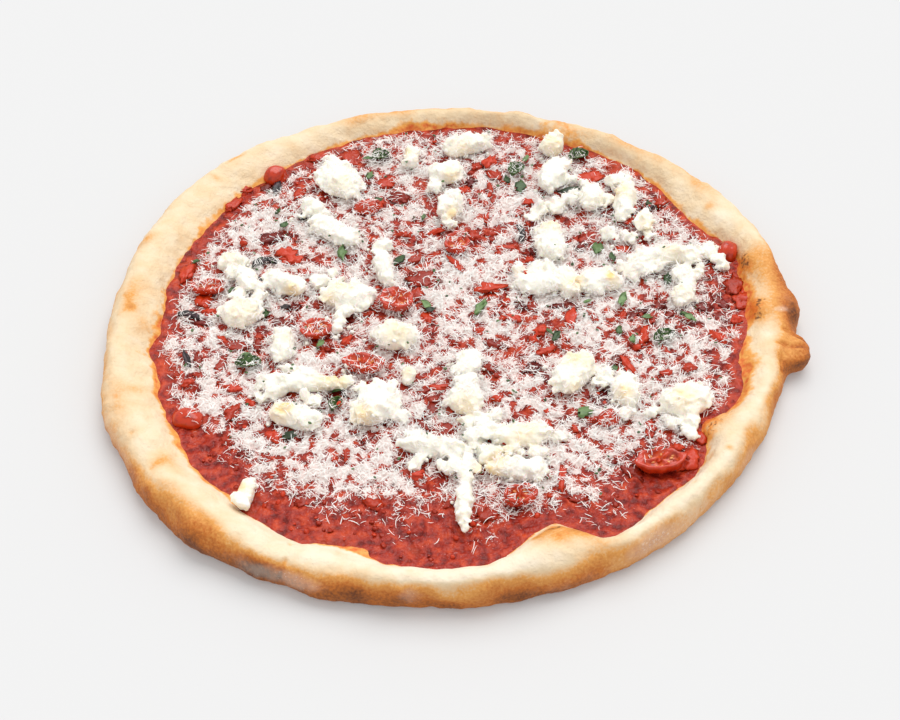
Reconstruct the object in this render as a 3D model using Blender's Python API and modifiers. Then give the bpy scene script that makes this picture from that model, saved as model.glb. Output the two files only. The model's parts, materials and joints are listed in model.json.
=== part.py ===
"""A ricotta and tomato pizza, about 330 mm across, as separate closed solids.

The dough, the sauce and each topping as large as a berry are objects of their own.
Finely grated cheese and scraps of topping are joined to the sauce they lie in.
Lengths are in millimetres, and angles in degrees from +X towards +Y, until
add_part() turns them into metres. The pizza lies flat on Z = 0.
"""
import math
import random

import bmesh
import bpy
from mathutils import Vector, noise
from mathutils.bvhtree import BVHTree

MM = 0.001                 # one millimetre in metres
SEED = 11                  # start of every random draw

# The dough: a thin round base with a raised rim.
DOUGH_RADIUS = 165.0       # mean outer radius
SAUCE_RADIUS = 146.5       # mean radius where the rim starts
BASE_THICKNESS = 5.0
RIM_HEIGHT = 17.5
SAUCE_LINE = 8.8           # height at which the rim leaves the sauce
WALL_WIDTH = 8.0           # the slope that joins the base to the rim
STEPS = 132                # corners of the turned shapes

# Waves of the two edges and of the rim's height: (waves in a turn, size, angle of a crest).
DOUGH_WAVES = ((1, 1.2, 15), (2, 2.8, 45), (3, 2.3, 12), (4, 1.4, 36), (5, 0.8, 8))
SAUCE_WAVES = ((1, 5.8, 12), (2, 4.7, 79))
RIM_WAVES = ((1, 1.0, 265), (3, 0.8, 60), (7, 0.7, 20))

# Where an edge leaves its waves: (angle, size, spread before, spread after).
DOUGH_FEATURES = (
    (4, 4.5, 7, 2.5),      # blunt corner behind the knob
    (50, -1.8, 4, 5),
    (65, 1.5, 2.5, 2.5),
    (71, -2.8, 2.5, 3),
    (80, -2.5, 3, 3),
    (200, 2.0, 4, 4),
    (221, 1.2, 3, 1.8),    # two small corners
    (230, 2.2, 3, 3),
    (345, -1.5, 4, 4),
)
SAUCE_FEATURES = (
    (18, 4.5, 3, 4),       # a tomato pressed against the rim
    (34, -5.5, 6, 6),
    (67, -4.5, 3.5, 4),    # dough pushed in beside the round lump
    (178, -2.0, 6, 5),
    (187, 5.0, 2, 2),      # a spike of sauce on the rim
    (253, -4.5, 6, 6),
    (291.5, -18.5, 9, 3.8),    # the large fold at the front
    (299, 3.0, 2, 3),
    (331, -12.0, 4.5, 5.5),
    (352, -5.0, 8, 9),
)
RIM_FEATURES = (
    (15, 2.5, 8, 6),
    (67, -1.5, 6, 5),
    (230, 1.5, 6, 6),
    (291, 1.2, 8, 5),
    (331, 1.5, 6, 7),
)

# The rim's section: (share of its width from the sauce, share of its height).
RIM_SECTION = (
    (0.10, 0.65), (0.26, 0.83), (0.44, 0.95), (0.62, 1.00), (0.78, 0.95),
    (0.91, 0.79), (0.985, 0.57), (1.00, 0.35), (0.965, 0.13), (0.90, 0.0),
)
# Blisters and dimples of the rim: (angle, share of its width, height, spread).
RIM_MARKS = (
    (17, 0.35, 3.0, 7), (4, 0.25, 2.2, 6), (166, 0.45, 1.2, 8), (196, 0.4, -1.6, 6),
    (216, 0.5, -2.2, 7), (222, 0.75, 1.6, 7), (243, 0.4, -2.0, 5), (249, 0.45, 1.4, 6),
    (283, 0.5, 1.3, 8), (298, 0.15, -2.2, 4), (60, 0.3, -1.4, 7), (120, 0.5, -1.2, 9),
)
CRUST_RELIEF = ((26, 0.9), (11, 0.45))   # (length, size) of the uneven surface
RELIEF_RISE = 3.0          # height above the sauce line at which the relief is whole
RELIEF_INSET = 12.0        # distance from the sauce at which the sideways relief is whole
SIDE_RELIEF = 1.2          # sideways relief, as a share of the upright one

# The knob of folded dough on the rim's outside.
KNOB_PLACE = (162.5, -17.5, 7.4)
KNOB_SIZE = (11.5, 11.0, 6.8)
KNOB_CREASE = 1.8          # depth of the crease
KNOB_CREASE_PLACE = 0.3    # its place and width, as shares of the knob's half length
KNOB_CREASE_WIDTH = 0.22
KNOB_ROUNDING = 0.68       # 1 gives an ellipsoid, and less gives a block with rounded corners

# The sauce: a shallow pool that fills the rim, with low heaps of grated cheese.
GAP = 0.35                 # clearance between neighbouring solids
SAUCE_CLEARANCE = 1.2      # how far the sauce stops short of the sloping dough
SAUCE_LEVEL = 8.1
SLAB_FLOOR = 1.0           # underside of the block that the pool is cut from
SLIVER = 0.01              # points closer than this are merged
NEARBY = 1.2               # how far round a point its surface is felt
SAUCE_RIPPLE = (30, 0.35)
SAUCE_CELL = 10.0          # spacing of the points of its surface
HEAP_HEIGHT = 1.3
CHEESE_HEAPS = (           # (x, y, radius)
    (-100, 70, 20), (-78, 88, 14), (-38, 78, 16), (-30, 108, 14), (36, 128, 11),
    (32, 84, 16), (28, 12, 18), (0, 2, 16), (-112, -18, 16), (-108, -42, 14),
    (-78, -86, 18), (-40, -88, 20), (-12, -100, 15), (30, -52, 12), (66, -88, 22),
    (92, -66, 14), (104, -26, 16), (120, -6, 14), (74, 2, 18), (24, 36, 14),
)

# Grated cheese and scraps joined to the sauce.
SHREDS = 66
SHRED_LENGTHS = (8.0, 14.0)
SHRED_WIDTH = 1.3
SHRED_THICKNESS = 1.1
SHRED_BEND = 2.2           # largest bow of a curl
SHRED_TAPER = 0.35         # how much narrower its ends are
SHRED_LIFT = 0.15          # height of its middle above the sauce
SHRED_CLEARANCE = 1.2
SHRED_REACH = 131          # no shreds further out than this
SCRAP_DEPTH = 1.2          # how deep the scraps are sunk
SCRAPS = (                 # (x, y, length, width, height)
    (24, 122, 8, 7, 3.0), (94, 109, 9, 8, 3.0), (107, 6, 13, 8, 3.0), (28, -124, 11, 8, 3.0),
    (33, 54, 9, 10, 3.2), (-7, 32, 12, 8, 3.0), (79, 122, 7, 7, 3.5), (82, 65, 9, 7, 4.0),
    (45, -112, 8, 8, 4.0), (107, -70, 7, 8, 4.0), (-98, -43, 9, 8, 3.0), (-24, 138, 8, 6, 3.0),
)

# Lumps of ricotta: (x, y, length, width, height, turn of the length).
RICOTTA = (
    (-54, 103, 33, 24, 10, -60), (-17, 120, 12, 10, 7, 90), (12, 133, 31, 17, 9, 12),
    (2, 111, 22, 19, 9, 30), (4, 85, 23, 17, 9, 80), (57, 132, 17, 15, 11, 80),
    (57, 107, 25, 19, 10, 75), (76, 90, 21, 16, 9, 70), (93, 87, 34, 14, 9, 80),
    (54, 57, 32, 18, 9, 95), (112, 45, 44, 16, 10, 8), (117, 20, 23, 13, 9, 75),
    (77, 29, 28, 18, 9, 20), (48, 25, 27, 17, 8, 10), (-55, 64, 33, 17, 7, -38),
    (-29, 38, 27, 12, 10, 98), (-104, 41, 18, 15, 8, 15), (-78, 27, 27, 16, 9, -35),
    (-96, 5, 26, 22, 10, 40), (-46, 17, 32, 19, 9, -8), (-75, -16, 24, 14, 9, 80),
    (-22, -10, 24, 18, 10, -10), (-16, -36, 14, 9, 7, 75), (-66, -41, 50, 12, 7, 0),
    (-31, -56, 30, 25, 10, 60), (-68, -63, 30, 16, 9, -15), (12, -29, 23, 15, 9, 70),
    (11, -53, 20, 20, 10, 0), (36, -75, 33, 17, 10, 0), (-3, -81, 36, 14, 8, -8),
    (10, -112, 34, 10, 9, 86), (34, -94, 34, 14, 8, -5), (61, -35, 33, 22, 10, 65),
    (84, -46, 25, 16, 9, 100), (112, -53, 28, 21, 10, 15), (-86, -110, 22, 9, 8, 75),
)
RICOTTA_LOBES = 5
LOBE_RADIUS = (0.36, 0.47)               # least and most, as a share of the lump's width
RICOTTA_CRUMB = (6.5, 0.22)              # (length, share of the size) of its roughness
RICOTTA_FACET = 2.4                      # length of lump for each corner of its outline
RICOTTA_CORNERS = (8, 12)                # fewest and most corners
TOPPING_GAP = GAP + 0.1                  # height of a topping above what it lies on

# Halves of cherry tomato: (x, y, length, width, height, turn, cut face up).
TOMATOES = (
    (-87, 110, 13, 12, 6, 30, False), (-38, 85, 15, 11, 5, 10, False), (-114, 24, 17, 9, 5, 5, True),
    (-60, -5, 16, 13, 5, 20, True), (-22, 14, 17, 15, 6, -10, True), (141, 51, 14, 12, 7, 60, False),
    (97, -90, 23, 13, 6, 10, True), (34, -110, 15, 11, 6, 15, True), (-37, -29, 20, 11, 6, -5, True),
    (7, 56, 15, 13, 5, 80, True), (-116, -62, 16, 12, 5, -20, False), (76, -62, 12, 10, 5, 30, False),
)
TOMATO_CORNERS = 10
# Sections of the halves, from the middle of the top: (share of the radius, share of the height).
CUP_SECTION = ((0, 0.62), (0.60, 0.66), (0.84, 1.0), (1.0, 0.86), (0.93, 0.35), (0.62, 0), (0, 0))
DOME_SECTION = ((0, 1.0), (0.45, 0.9), (0.80, 0.62), (1.0, 0.18), (0.86, 0), (0, 0))

# Pieces of black olive: (x, y, length, width, bend, turn).
OLIVES = (
    (-88, 43, 13, 4.5, 2.5, 10), (-122, 5, 12, 4.0, 2.0, -20), (38, 65, 12, 3.5, -2.0, 95),
    (105, 81, 12, 4.0, 2.0, 70),
)
OLIVE_THICKNESS = 2.6

# Pieces of basil leaf: (x, y, length, width, turn).
BASIL = (
    (71, 127, 11, 7, 25), (38, 115, 10, 7, 60), (-33, 126, 9, 7, 20), (105, -10, 11, 6, 30),
    (-91, -27, 12, 7, 10), (-49, -53, 8, 5, 70),
)
BASIL_THICKNESS = 0.6
BASIL_WAVE = 1.2           # height of its waves
BASIL_WAVES = 7.0          # radians of wave along its length
BASIL_FOLD = 2.5           # how much higher its sides are, in waves
BASIL_POINT = 2.6          # how fast it narrows towards its ends

# Colours as linear red, green and blue, then roughness.
FINISHES = {
    "crust": ((0.83, 0.60, 0.33), 0.75),
    "sauce": ((0.42, 0.02, 0.012), 0.35),
    "ricotta": ((0.90, 0.86, 0.70), 0.70),
    "tomato": ((0.55, 0.025, 0.01), 0.25),
    "olive": ((0.02, 0.012, 0.02), 0.30),
    "basil": ((0.05, 0.14, 0.04), 0.50),
}


# ---- small helpers ----

def hill(angle, centre, before, after):
    """A smooth hill over the angles, 1 high at its centre."""
    turn = (angle - centre + 180) % 360 - 180
    spread = before if turn < 0 else after
    return math.exp(-(turn / spread) ** 2)


def along_turn(angle, mean, waves, features):
    """A size that changes round the pizza."""
    size = mean
    for count, swing, crest in waves:
        size += swing * math.cos(math.radians(count * (angle - crest)))
    for centre, step, before, after in features:
        size += step * hill(angle, centre, before, after)
    return size


def dough_radius(angle):
    return along_turn(angle, DOUGH_RADIUS, DOUGH_WAVES, DOUGH_FEATURES)


def sauce_radius(angle):
    return along_turn(angle, SAUCE_RADIUS, SAUCE_WAVES, SAUCE_FEATURES)


def rim_height(angle):
    return along_turn(angle, RIM_HEIGHT, RIM_WAVES, RIM_FEATURES)


def angle_of(x, y):
    return math.degrees(math.atan2(y, x)) % 360


def mesh_of(shape):
    """The mesh of an object with its modifiers; the object itself is removed."""
    bpy.context.scene.collection.objects.link(shape)
    depsgraph = bpy.context.evaluated_depsgraph_get()
    mesh = bpy.data.meshes.new_from_object(shape.evaluated_get(depsgraph))
    bpy.data.objects.remove(shape)
    return mesh


def turned(profile, steps):
    """The solid that a profile makes, turned once about Z."""
    mesh = bpy.data.meshes.new("profile")
    points = [(radius, 0, height) for radius, height in profile]
    mesh.from_pydata(points, [(i, i + 1) for i in range(len(points) - 1)], [])
    shape = bpy.data.objects.new("turned", mesh)
    screw = shape.modifiers.new("turn", "SCREW")
    screw.steps = steps
    screw.render_steps = steps
    screw.use_merge_vertices = True
    screw.merge_threshold = 0.0001
    return mesh_of(shape)


def combined(mesh, others, operation):
    """Join meshes to a mesh, or keep what they share."""
    cutters = bpy.data.collections.new("cutters")
    bpy.context.scene.collection.children.link(cutters)
    for other in others:
        cutter = bpy.data.objects.new("cutter", other)
        cutter.hide_render = True
        cutter.display_type = "WIRE"
        cutters.objects.link(cutter)
    shape = bpy.data.objects.new("combined", mesh)
    boolean = shape.modifiers.new(operation.lower(), "BOOLEAN")
    boolean.operation = operation
    boolean.operand_type = "COLLECTION"
    boolean.collection = cutters
    result = mesh_of(shape)
    for cutter in list(cutters.objects):
        bpy.data.objects.remove(cutter)
    bpy.data.collections.remove(cutters)
    return result


def tidied(mesh):
    """Merge the slivers that a cut leaves, and split the faces into triangles."""
    bm = bmesh.new()
    bm.from_mesh(mesh)
    bmesh.ops.remove_doubles(bm, verts=bm.verts, dist=SLIVER)
    bmesh.ops.dissolve_degenerate(bm, edges=bm.edges, dist=SLIVER)
    bmesh.ops.triangulate(bm, faces=bm.faces)
    return mesh_from(bm)


def mesh_from(bm):
    """Turn a bmesh into a mesh with its faces pointing out."""
    bmesh.ops.recalc_face_normals(bm, faces=bm.faces)
    mesh = bpy.data.meshes.new("shape")
    bm.to_mesh(mesh)
    bm.free()
    return mesh


def tree_of(mesh):
    return BVHTree.FromPolygons([v.co for v in mesh.vertices], [p.vertices for p in mesh.polygons])


def height_at(trees, x, y):
    """Height of the highest surface at a point or just beside it."""
    hits = []
    for step_x, step_y in ((0, 0), (1, 0), (0, 1), (-1, 0), (0, -1)):
        start = Vector((x + NEARBY * step_x, y + NEARBY * step_y, 100))
        hits += [tree.ray_cast(start, Vector((0, 0, -1)))[0] for tree in trees]
    return max(hit.z for hit in hits if hit)


# ---- the dough ----

def move_edges(mesh):
    """Bring a turned shape's two mean radii to the real edges at each angle."""
    for vertex in mesh.vertices:
        x, y, z = vertex.co
        radius = math.hypot(x, y)
        if radius < SLIVER:
            continue
        angle = angle_of(x, y)
        inner = sauce_radius(angle)
        share = (radius - SAUCE_RADIUS) / (DOUGH_RADIUS - SAUCE_RADIUS)
        if share <= 0:
            moved = radius * inner / SAUCE_RADIUS
        else:
            moved = inner + share * (dough_radius(angle) - inner)
            rise = (z - SAUCE_LINE) / (RIM_HEIGHT - SAUCE_LINE)
            z += max(rise, 0) * (rim_height(angle) - RIM_HEIGHT)
        vertex.co = (x * moved / radius, y * moved / radius, z)


def rim_mark(x, y):
    """Height of the blisters and dimples at a point of the rim."""
    height = 0
    for angle, share, size, spread in RIM_MARKS:
        radius = sauce_radius(angle) + share * (dough_radius(angle) - sauce_radius(angle))
        away_x = x - radius * math.cos(math.radians(angle))
        away_y = y - radius * math.sin(math.radians(angle))
        height += size * math.exp(-(away_x ** 2 + away_y ** 2) / spread ** 2)
    return height


def roughen_rim(mesh):
    """Give the rim its blisters, dimples and uneven surface; its foot stays flat."""
    for vertex in mesh.vertices:
        x, y, z = vertex.co
        radius = math.hypot(x, y)
        past_sauce = radius - sauce_radius(angle_of(x, y))
        if z < SLIVER or past_sauce < -WALL_WIDTH:
            continue
        rise = min(max((z - SAUCE_LINE) / RELIEF_RISE, 0), 1)
        side = min(max(past_sauce / RELIEF_INSET, 0), 1)
        uneven = sum(size * noise.noise(vertex.co / length) for length, size in CRUST_RELIEF)
        outward = Vector((x / radius, y / radius, 0))
        vertex.co += outward * uneven * side * SIDE_RELIEF
        vertex.co.z += rise * (uneven + rim_mark(x, y))


def knob_mesh():
    """The knob: a rounded flap with a crease along its top."""
    bm = bmesh.new()
    bmesh.ops.create_uvsphere(bm, u_segments=14, v_segments=9, radius=1)
    for vertex in bm.verts:
        x, y, z = (math.copysign(abs(share) ** KNOB_ROUNDING, share) for share in vertex.co)
        from_crease = (y - KNOB_CREASE_PLACE) / KNOB_CREASE_WIDTH
        crease = KNOB_CREASE * math.exp(-from_crease ** 2) * max(z, 0)
        vertex.co = Vector((
            KNOB_PLACE[0] + KNOB_SIZE[0] * x,
            KNOB_PLACE[1] + KNOB_SIZE[1] * y,
            KNOB_PLACE[2] + KNOB_SIZE[2] * z - crease,
        ))
    return mesh_from(bm)


def crust_mesh():
    """Dough base and rim in one piece, with the knob joined on."""
    rim_width = DOUGH_RADIUS - SAUCE_RADIUS
    profile = [
        (0, BASE_THICKNESS),
        (SAUCE_RADIUS - WALL_WIDTH, BASE_THICKNESS),
        (SAUCE_RADIUS, SAUCE_LINE),
    ]
    for width_share, height_share in RIM_SECTION:
        profile.append((SAUCE_RADIUS + width_share * rim_width, height_share * RIM_HEIGHT))
    profile.append((0, 0))
    mesh = turned(profile, STEPS)
    move_edges(mesh)
    roughen_rim(mesh)
    return combined(mesh, [knob_mesh()], "UNION")


# ---- the sauce ----

def sauce_surface(x, y):
    """Height of the sauce and of the heaps of grated cheese on it."""
    length, size = SAUCE_RIPPLE
    height = SAUCE_LEVEL + size * noise.noise(Vector((x, y, 0)) / length)
    for heap_x, heap_y, radius in CHEESE_HEAPS:
        away = math.hypot(x - heap_x, y - heap_y)
        height += HEAP_HEIGHT * math.exp(-(away / radius) ** 2)
    return height


def sauce_slab():
    """A square block with the sauce's surface on top."""
    half = DOUGH_RADIUS
    cells = round(2 * half / SAUCE_CELL)
    bm = bmesh.new()
    bmesh.ops.create_grid(bm, x_segments=cells, y_segments=cells, size=half)
    extruded = bmesh.ops.extrude_face_region(bm, geom=bm.faces[:])
    top = {item for item in extruded["geom"] if isinstance(item, bmesh.types.BMVert)}
    for vertex in bm.verts:
        vertex.co.z = sauce_surface(vertex.co.x, vertex.co.y) if vertex in top else SLAB_FLOOR
    return mesh_from(bm)


def sauce_mesh():
    """The pool of sauce: the block cut to the shape of the hollow in the dough."""
    lid = 4 * SAUCE_LEVEL
    slope = WALL_WIDTH / (SAUCE_LINE - BASE_THICKNESS)
    edge = SAUCE_RADIUS - SAUCE_CLEARANCE
    bottom = BASE_THICKNESS + GAP
    profile = [
        (0, lid),
        (edge, lid),
        (edge, SAUCE_LINE),
        (edge - slope * (SAUCE_LINE - bottom), bottom),
        (0, bottom),
    ]
    pool = turned(profile, STEPS)
    move_edges(pool)
    return tidied(combined(pool, [sauce_slab()], "INTERSECT"))


# ---- grated cheese and scraps, joined to the sauce ----

def strip(length, width, thickness, parts, bend):
    """A bar along X, in a few parts, bent sideways into an arc."""
    bm = bmesh.new()
    bmesh.ops.create_cube(bm, size=1)
    long_edges = [e for e in bm.edges if abs(e.verts[0].co.x - e.verts[1].co.x) > 0.5]
    bmesh.ops.subdivide_edges(bm, edges=long_edges, cuts=parts - 1, use_grid_fill=True)
    for vertex in bm.verts:
        along = 2 * vertex.co.x
        taper = 1 - SHRED_TAPER * along ** 2
        vertex.co = Vector((
            length * vertex.co.x,
            width * vertex.co.y * taper + bend * (1 - along ** 2),
            thickness * vertex.co.z,
        ))
    return bm


def footprints():
    """Circles that cover every topping: (x, y, radius)."""
    circles = []
    for x, y, length, width, _height, turn in RICOTTA:
        circles += row_of_circles(x, y, length, width, turn)
    for x, y, length, width, _height, turn, _cut_up in TOMATOES:
        circles += row_of_circles(x, y, length, width, turn)
    for x, y, length, width, bend, turn in OLIVES:
        circles += row_of_circles(x, y, length, width + 2 * abs(bend), turn)
    for x, y, length, width, turn in BASIL:
        circles += row_of_circles(x, y, length, width, turn)
    for x, y, length, width, _height in SCRAPS:
        circles += row_of_circles(x, y, length, width, 0)
    return circles


def row_of_circles(x, y, length, width, turn):
    """Three circles in a row over a long footprint."""
    reach = max(length - width, 0) / 2
    step = Vector((math.cos(math.radians(turn)), math.sin(math.radians(turn)))) * reach
    return [(x + step.x * side, y + step.y * side, width * 0.56) for side in (-1, 0, 1)]


def is_clear(x, y, reach, circles):
    return all(math.hypot(x - a, y - b) > radius + reach for a, b, radius in circles)


def shred_meshes(tree):
    """Curls of grated cheese, spread evenly over the free sauce."""
    draw = random.Random(SEED)
    circles = footprints()
    shreds = []
    while len(shreds) < SHREDS:
        x = draw.uniform(-SHRED_REACH, SHRED_REACH)
        y = draw.uniform(-SHRED_REACH, SHRED_REACH)
        length = draw.uniform(*SHRED_LENGTHS)
        turn = draw.uniform(0, 180)
        bend = draw.uniform(-SHRED_BEND, SHRED_BEND)
        inside = math.hypot(x, y) < SHRED_REACH * sauce_radius(angle_of(x, y)) / SAUCE_RADIUS
        if not inside or not is_clear(x, y, length / 2 + SHRED_CLEARANCE, circles):
            continue
        circles.append((x, y, length * 0.4))
        bm = strip(length, SHRED_WIDTH, SHRED_THICKNESS, 2, bend)
        lay_down(bm, tree, x, y, turn, SHRED_LIFT)
        shreds.append(mesh_from(bm))
    return shreds


def scrap_meshes(tree):
    """Small bits of tomato, olive and ricotta, half sunk in the sauce."""
    scraps = []
    for x, y, length, width, height in SCRAPS:
        bm = bmesh.new()
        bmesh.ops.create_icosphere(bm, subdivisions=1, radius=0.5)
        for vertex in bm.verts:
            uneven = 1 + 0.2 * noise.noise(vertex.co * 4 + Vector((x, y, 0)))
            rise = 2 * height * vertex.co.z if vertex.co.z > 0 else 2 * SCRAP_DEPTH * vertex.co.z
            vertex.co = Vector((length * vertex.co.x, width * vertex.co.y, rise)) * uneven
        lay_down(bm, tree, x, y, x + y, 0)
        scraps.append(mesh_from(bm))
    return scraps


def lay_down(bm, tree, x, y, turn, lift):
    """Move a shape to its place and let it follow the surface below."""
    cos, sin = math.cos(math.radians(turn)), math.sin(math.radians(turn))
    for vertex in bm.verts:
        a, b, z = vertex.co
        place_x = x + a * cos - b * sin
        place_y = y + a * sin + b * cos
        vertex.co = Vector((place_x, place_y, height_at([tree], place_x, place_y) + lift + z))


# ---- toppings that are pieces of their own ----

def lump_bmesh(length, width, height, draw):
    """A rough lump of ricotta: lobes in a row, joined as they are seen from the middle."""
    lobes = []
    reach = (length - width * 0.8) / 2
    for index in range(RICOTTA_LOBES):
        along = reach * (2 * index / (RICOTTA_LOBES - 1) - 1)
        radius = width * draw.uniform(*LOBE_RADIUS)
        aside = (width / 2 - radius) * draw.uniform(-1.5, 1.5)
        lobes.append((along, aside, radius))
    crumb_length, crumb_size = RICOTTA_CRUMB
    start = Vector((draw.uniform(0, 99), draw.uniform(0, 99), 0))
    bm = bmesh.new()
    corners = min(max(round(length / RICOTTA_FACET), RICOTTA_CORNERS[0]), RICOTTA_CORNERS[1])
    bmesh.ops.create_uvsphere(bm, u_segments=corners, v_segments=6, radius=1)
    for vertex in bm.verts:
        out = Vector((vertex.co.x * length, vertex.co.y * width))
        place = Vector((0, 0))
        if out.length > SLIVER:
            spread = math.hypot(vertex.co.x, vertex.co.y) ** 0.8
            place = out.normalized() * edge_distance(out.normalized(), lobes) * spread
        level = vertex.co.z
        uneven = crumb_size * noise.noise(Vector((place.x, place.y, level * 4)) / crumb_length + start)
        place *= 1 + uneven
        rise = max(0.28 + 0.72 * level, 0) * height * (1 + 1.6 * uneven)
        vertex.co = (place.x, place.y, rise)
    return bm


def edge_distance(direction, lobes):
    """How far a lump reaches from its middle in one direction."""
    reach = 0
    for x, y, radius in lobes:
        along = direction.x * x + direction.y * y
        aside = direction.x * y - direction.y * x
        if abs(aside) < radius:
            reach = max(reach, along + math.sqrt(radius ** 2 - aside ** 2))
    return reach


def tomato_bmesh(length, width, height, cut_up):
    """Half a cherry tomato: a dome on its cut face, or a shallow cup with the cut face up."""
    bm = bmesh.new()
    bm.from_mesh(turned(CUP_SECTION if cut_up else DOME_SECTION, TOMATO_CORNERS))
    for vertex in bm.verts:
        x, y, z = vertex.co
        vertex.co = (x * length / 2, y * width / 2, z * height)
    return bm


def leaf_bmesh(length, width, draw):
    """A thin wavy piece of leaf, pointed at both ends."""
    bm = bmesh.new()
    bmesh.ops.create_grid(bm, x_segments=4, y_segments=2, size=0.5)
    bmesh.ops.triangulate(bm, faces=bm.faces)
    phase = draw.uniform(0, 6)
    for vertex in bm.verts:
        x, y, _z = vertex.co
        outline = 1 - BASIL_POINT * x ** 2
        wave = (1 + math.sin(BASIL_WAVES * x + phase)) / 2 + BASIL_FOLD * y ** 2
        vertex.co = (x * length, y * width * outline, BASIL_WAVE * wave)
    shape = bpy.data.objects.new("leaf", mesh_from(bm))
    solid = shape.modifiers.new("thickness", "SOLIDIFY")
    solid.thickness = BASIL_THICKNESS
    solid.offset = 1
    bm = bmesh.new()
    bm.from_mesh(mesh_of(shape))
    lowest = min(vertex.co.z for vertex in bm.verts)
    bmesh.ops.translate(bm, verts=bm.verts, vec=(0, 0, -lowest))
    return bm


def rest_on(bm, trees, x, y, turn):
    """Bend a topping's underside to the surface it lies on, and return its height there."""
    cos, sin = math.cos(math.radians(turn)), math.sin(math.radians(turn))
    middle = height_at(trees, x, y)
    for vertex in bm.verts:
        a, b, z = vertex.co
        surface = height_at(trees, x + a * cos - b * sin, y + a * sin + b * cos)
        vertex.co.z = z + surface - middle + TOPPING_GAP
    return middle


# ---- the objects ----

def make_material(name):
    colour, roughness = FINISHES[name]
    material = bpy.data.materials.new(name)
    material.use_nodes = True
    shader = material.node_tree.nodes["Principled BSDF"]
    shader.inputs["Base Color"].default_value = (*colour, 1)
    shader.inputs["Roughness"].default_value = roughness
    shader.inputs["Metallic"].default_value = 0
    material.diffuse_color = (*colour, 1)
    return material


def add_part(name, mesh, material, place=(0, 0, 0), turn=0):
    """Make a finished object, in metres, from a mesh in millimetres."""
    for vertex in mesh.vertices:
        vertex.co *= MM
    mesh.name = name
    mesh.materials.clear()
    mesh.materials.append(material)
    mesh.shade_smooth()
    mesh.set_sharp_from_angle(angle=math.radians(50))
    part = bpy.data.objects.new(name, mesh)
    part.location = Vector(place) * MM
    part.rotation_euler.z = math.radians(turn)
    bpy.data.collections["pizza"].objects.link(part)
    return part


def add_toppings(trees, materials):
    """Lay every loose topping on the dough or the bare sauce."""
    draw = random.Random(SEED)
    pieces = []
    for index, (x, y, length, width, height, turn) in enumerate(RICOTTA, 1):
        pieces.append(("ricotta", index, lump_bmesh(length, width, height, draw), x, y, turn))
    for index, (x, y, length, width, height, turn, cut_up) in enumerate(TOMATOES, 1):
        pieces.append(("tomato", index, tomato_bmesh(length, width, height, cut_up), x, y, turn))
    for index, (x, y, length, width, bend, turn) in enumerate(OLIVES, 1):
        bm = strip(length, width, OLIVE_THICKNESS, 4, bend)
        bmesh.ops.translate(bm, verts=bm.verts, vec=(0, 0, OLIVE_THICKNESS / 2))
        pieces.append(("olive", index, bm, x, y, turn))
    for index, (x, y, length, width, turn) in enumerate(BASIL, 1):
        pieces.append(("basil", index, leaf_bmesh(length, width, draw), x, y, turn))
    for kind, index, bm, x, y, turn in pieces:
        level = rest_on(bm, trees, x, y, turn)
        add_part(f"{kind}_{index:02d}", mesh_from(bm), materials[kind], (x, y, level), turn)


def centre_on_origin(collection):
    """Bring the middle of the pizza's box to the origin, with its underside on Z = 0."""
    corners = []
    for part in collection.objects:
        corners += [part.matrix_world @ Vector(corner) for corner in part.bound_box]
    low = [min(corner[axis] for corner in corners) for axis in range(3)]
    high = [max(corner[axis] for corner in corners) for axis in range(3)]
    shift = Vector(((low[0] + high[0]) / 2, (low[1] + high[1]) / 2, low[2]))
    for part in collection.objects:
        part.location -= shift


def main():
    for old in list(bpy.data.objects):
        bpy.data.objects.remove(old)
    collection = bpy.data.collections.new("pizza")
    bpy.context.scene.collection.children.link(collection)
    materials = {name: make_material(name) for name in FINISHES}

    crust = crust_mesh()
    sauce = sauce_mesh()
    trees = [tree_of(crust), tree_of(sauce)]
    add_toppings(trees, materials)
    sauce = combined(sauce, shred_meshes(trees[1]) + scrap_meshes(trees[1]), "UNION")
    add_part("crust", crust, materials["crust"])
    add_part("sauce", sauce, materials["sauce"])
    bpy.context.view_layer.update()
    centre_on_origin(collection)


main()
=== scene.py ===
"""The looks of a ricotta and tomato pizza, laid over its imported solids.

Every piece takes its place and its size from the frame. Lengths are in metres and are
written in millimetres with MM. Angles round the pizza are in degrees from +X towards +Y.
"""
import json
import math
import random

import bmesh
import bpy
import numpy as np
from bpy.props import FloatProperty, FloatVectorProperty, IntProperty, PointerProperty
from mathutils import Matrix, Vector, noise
from mathutils.bvhtree import BVHTree

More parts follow.
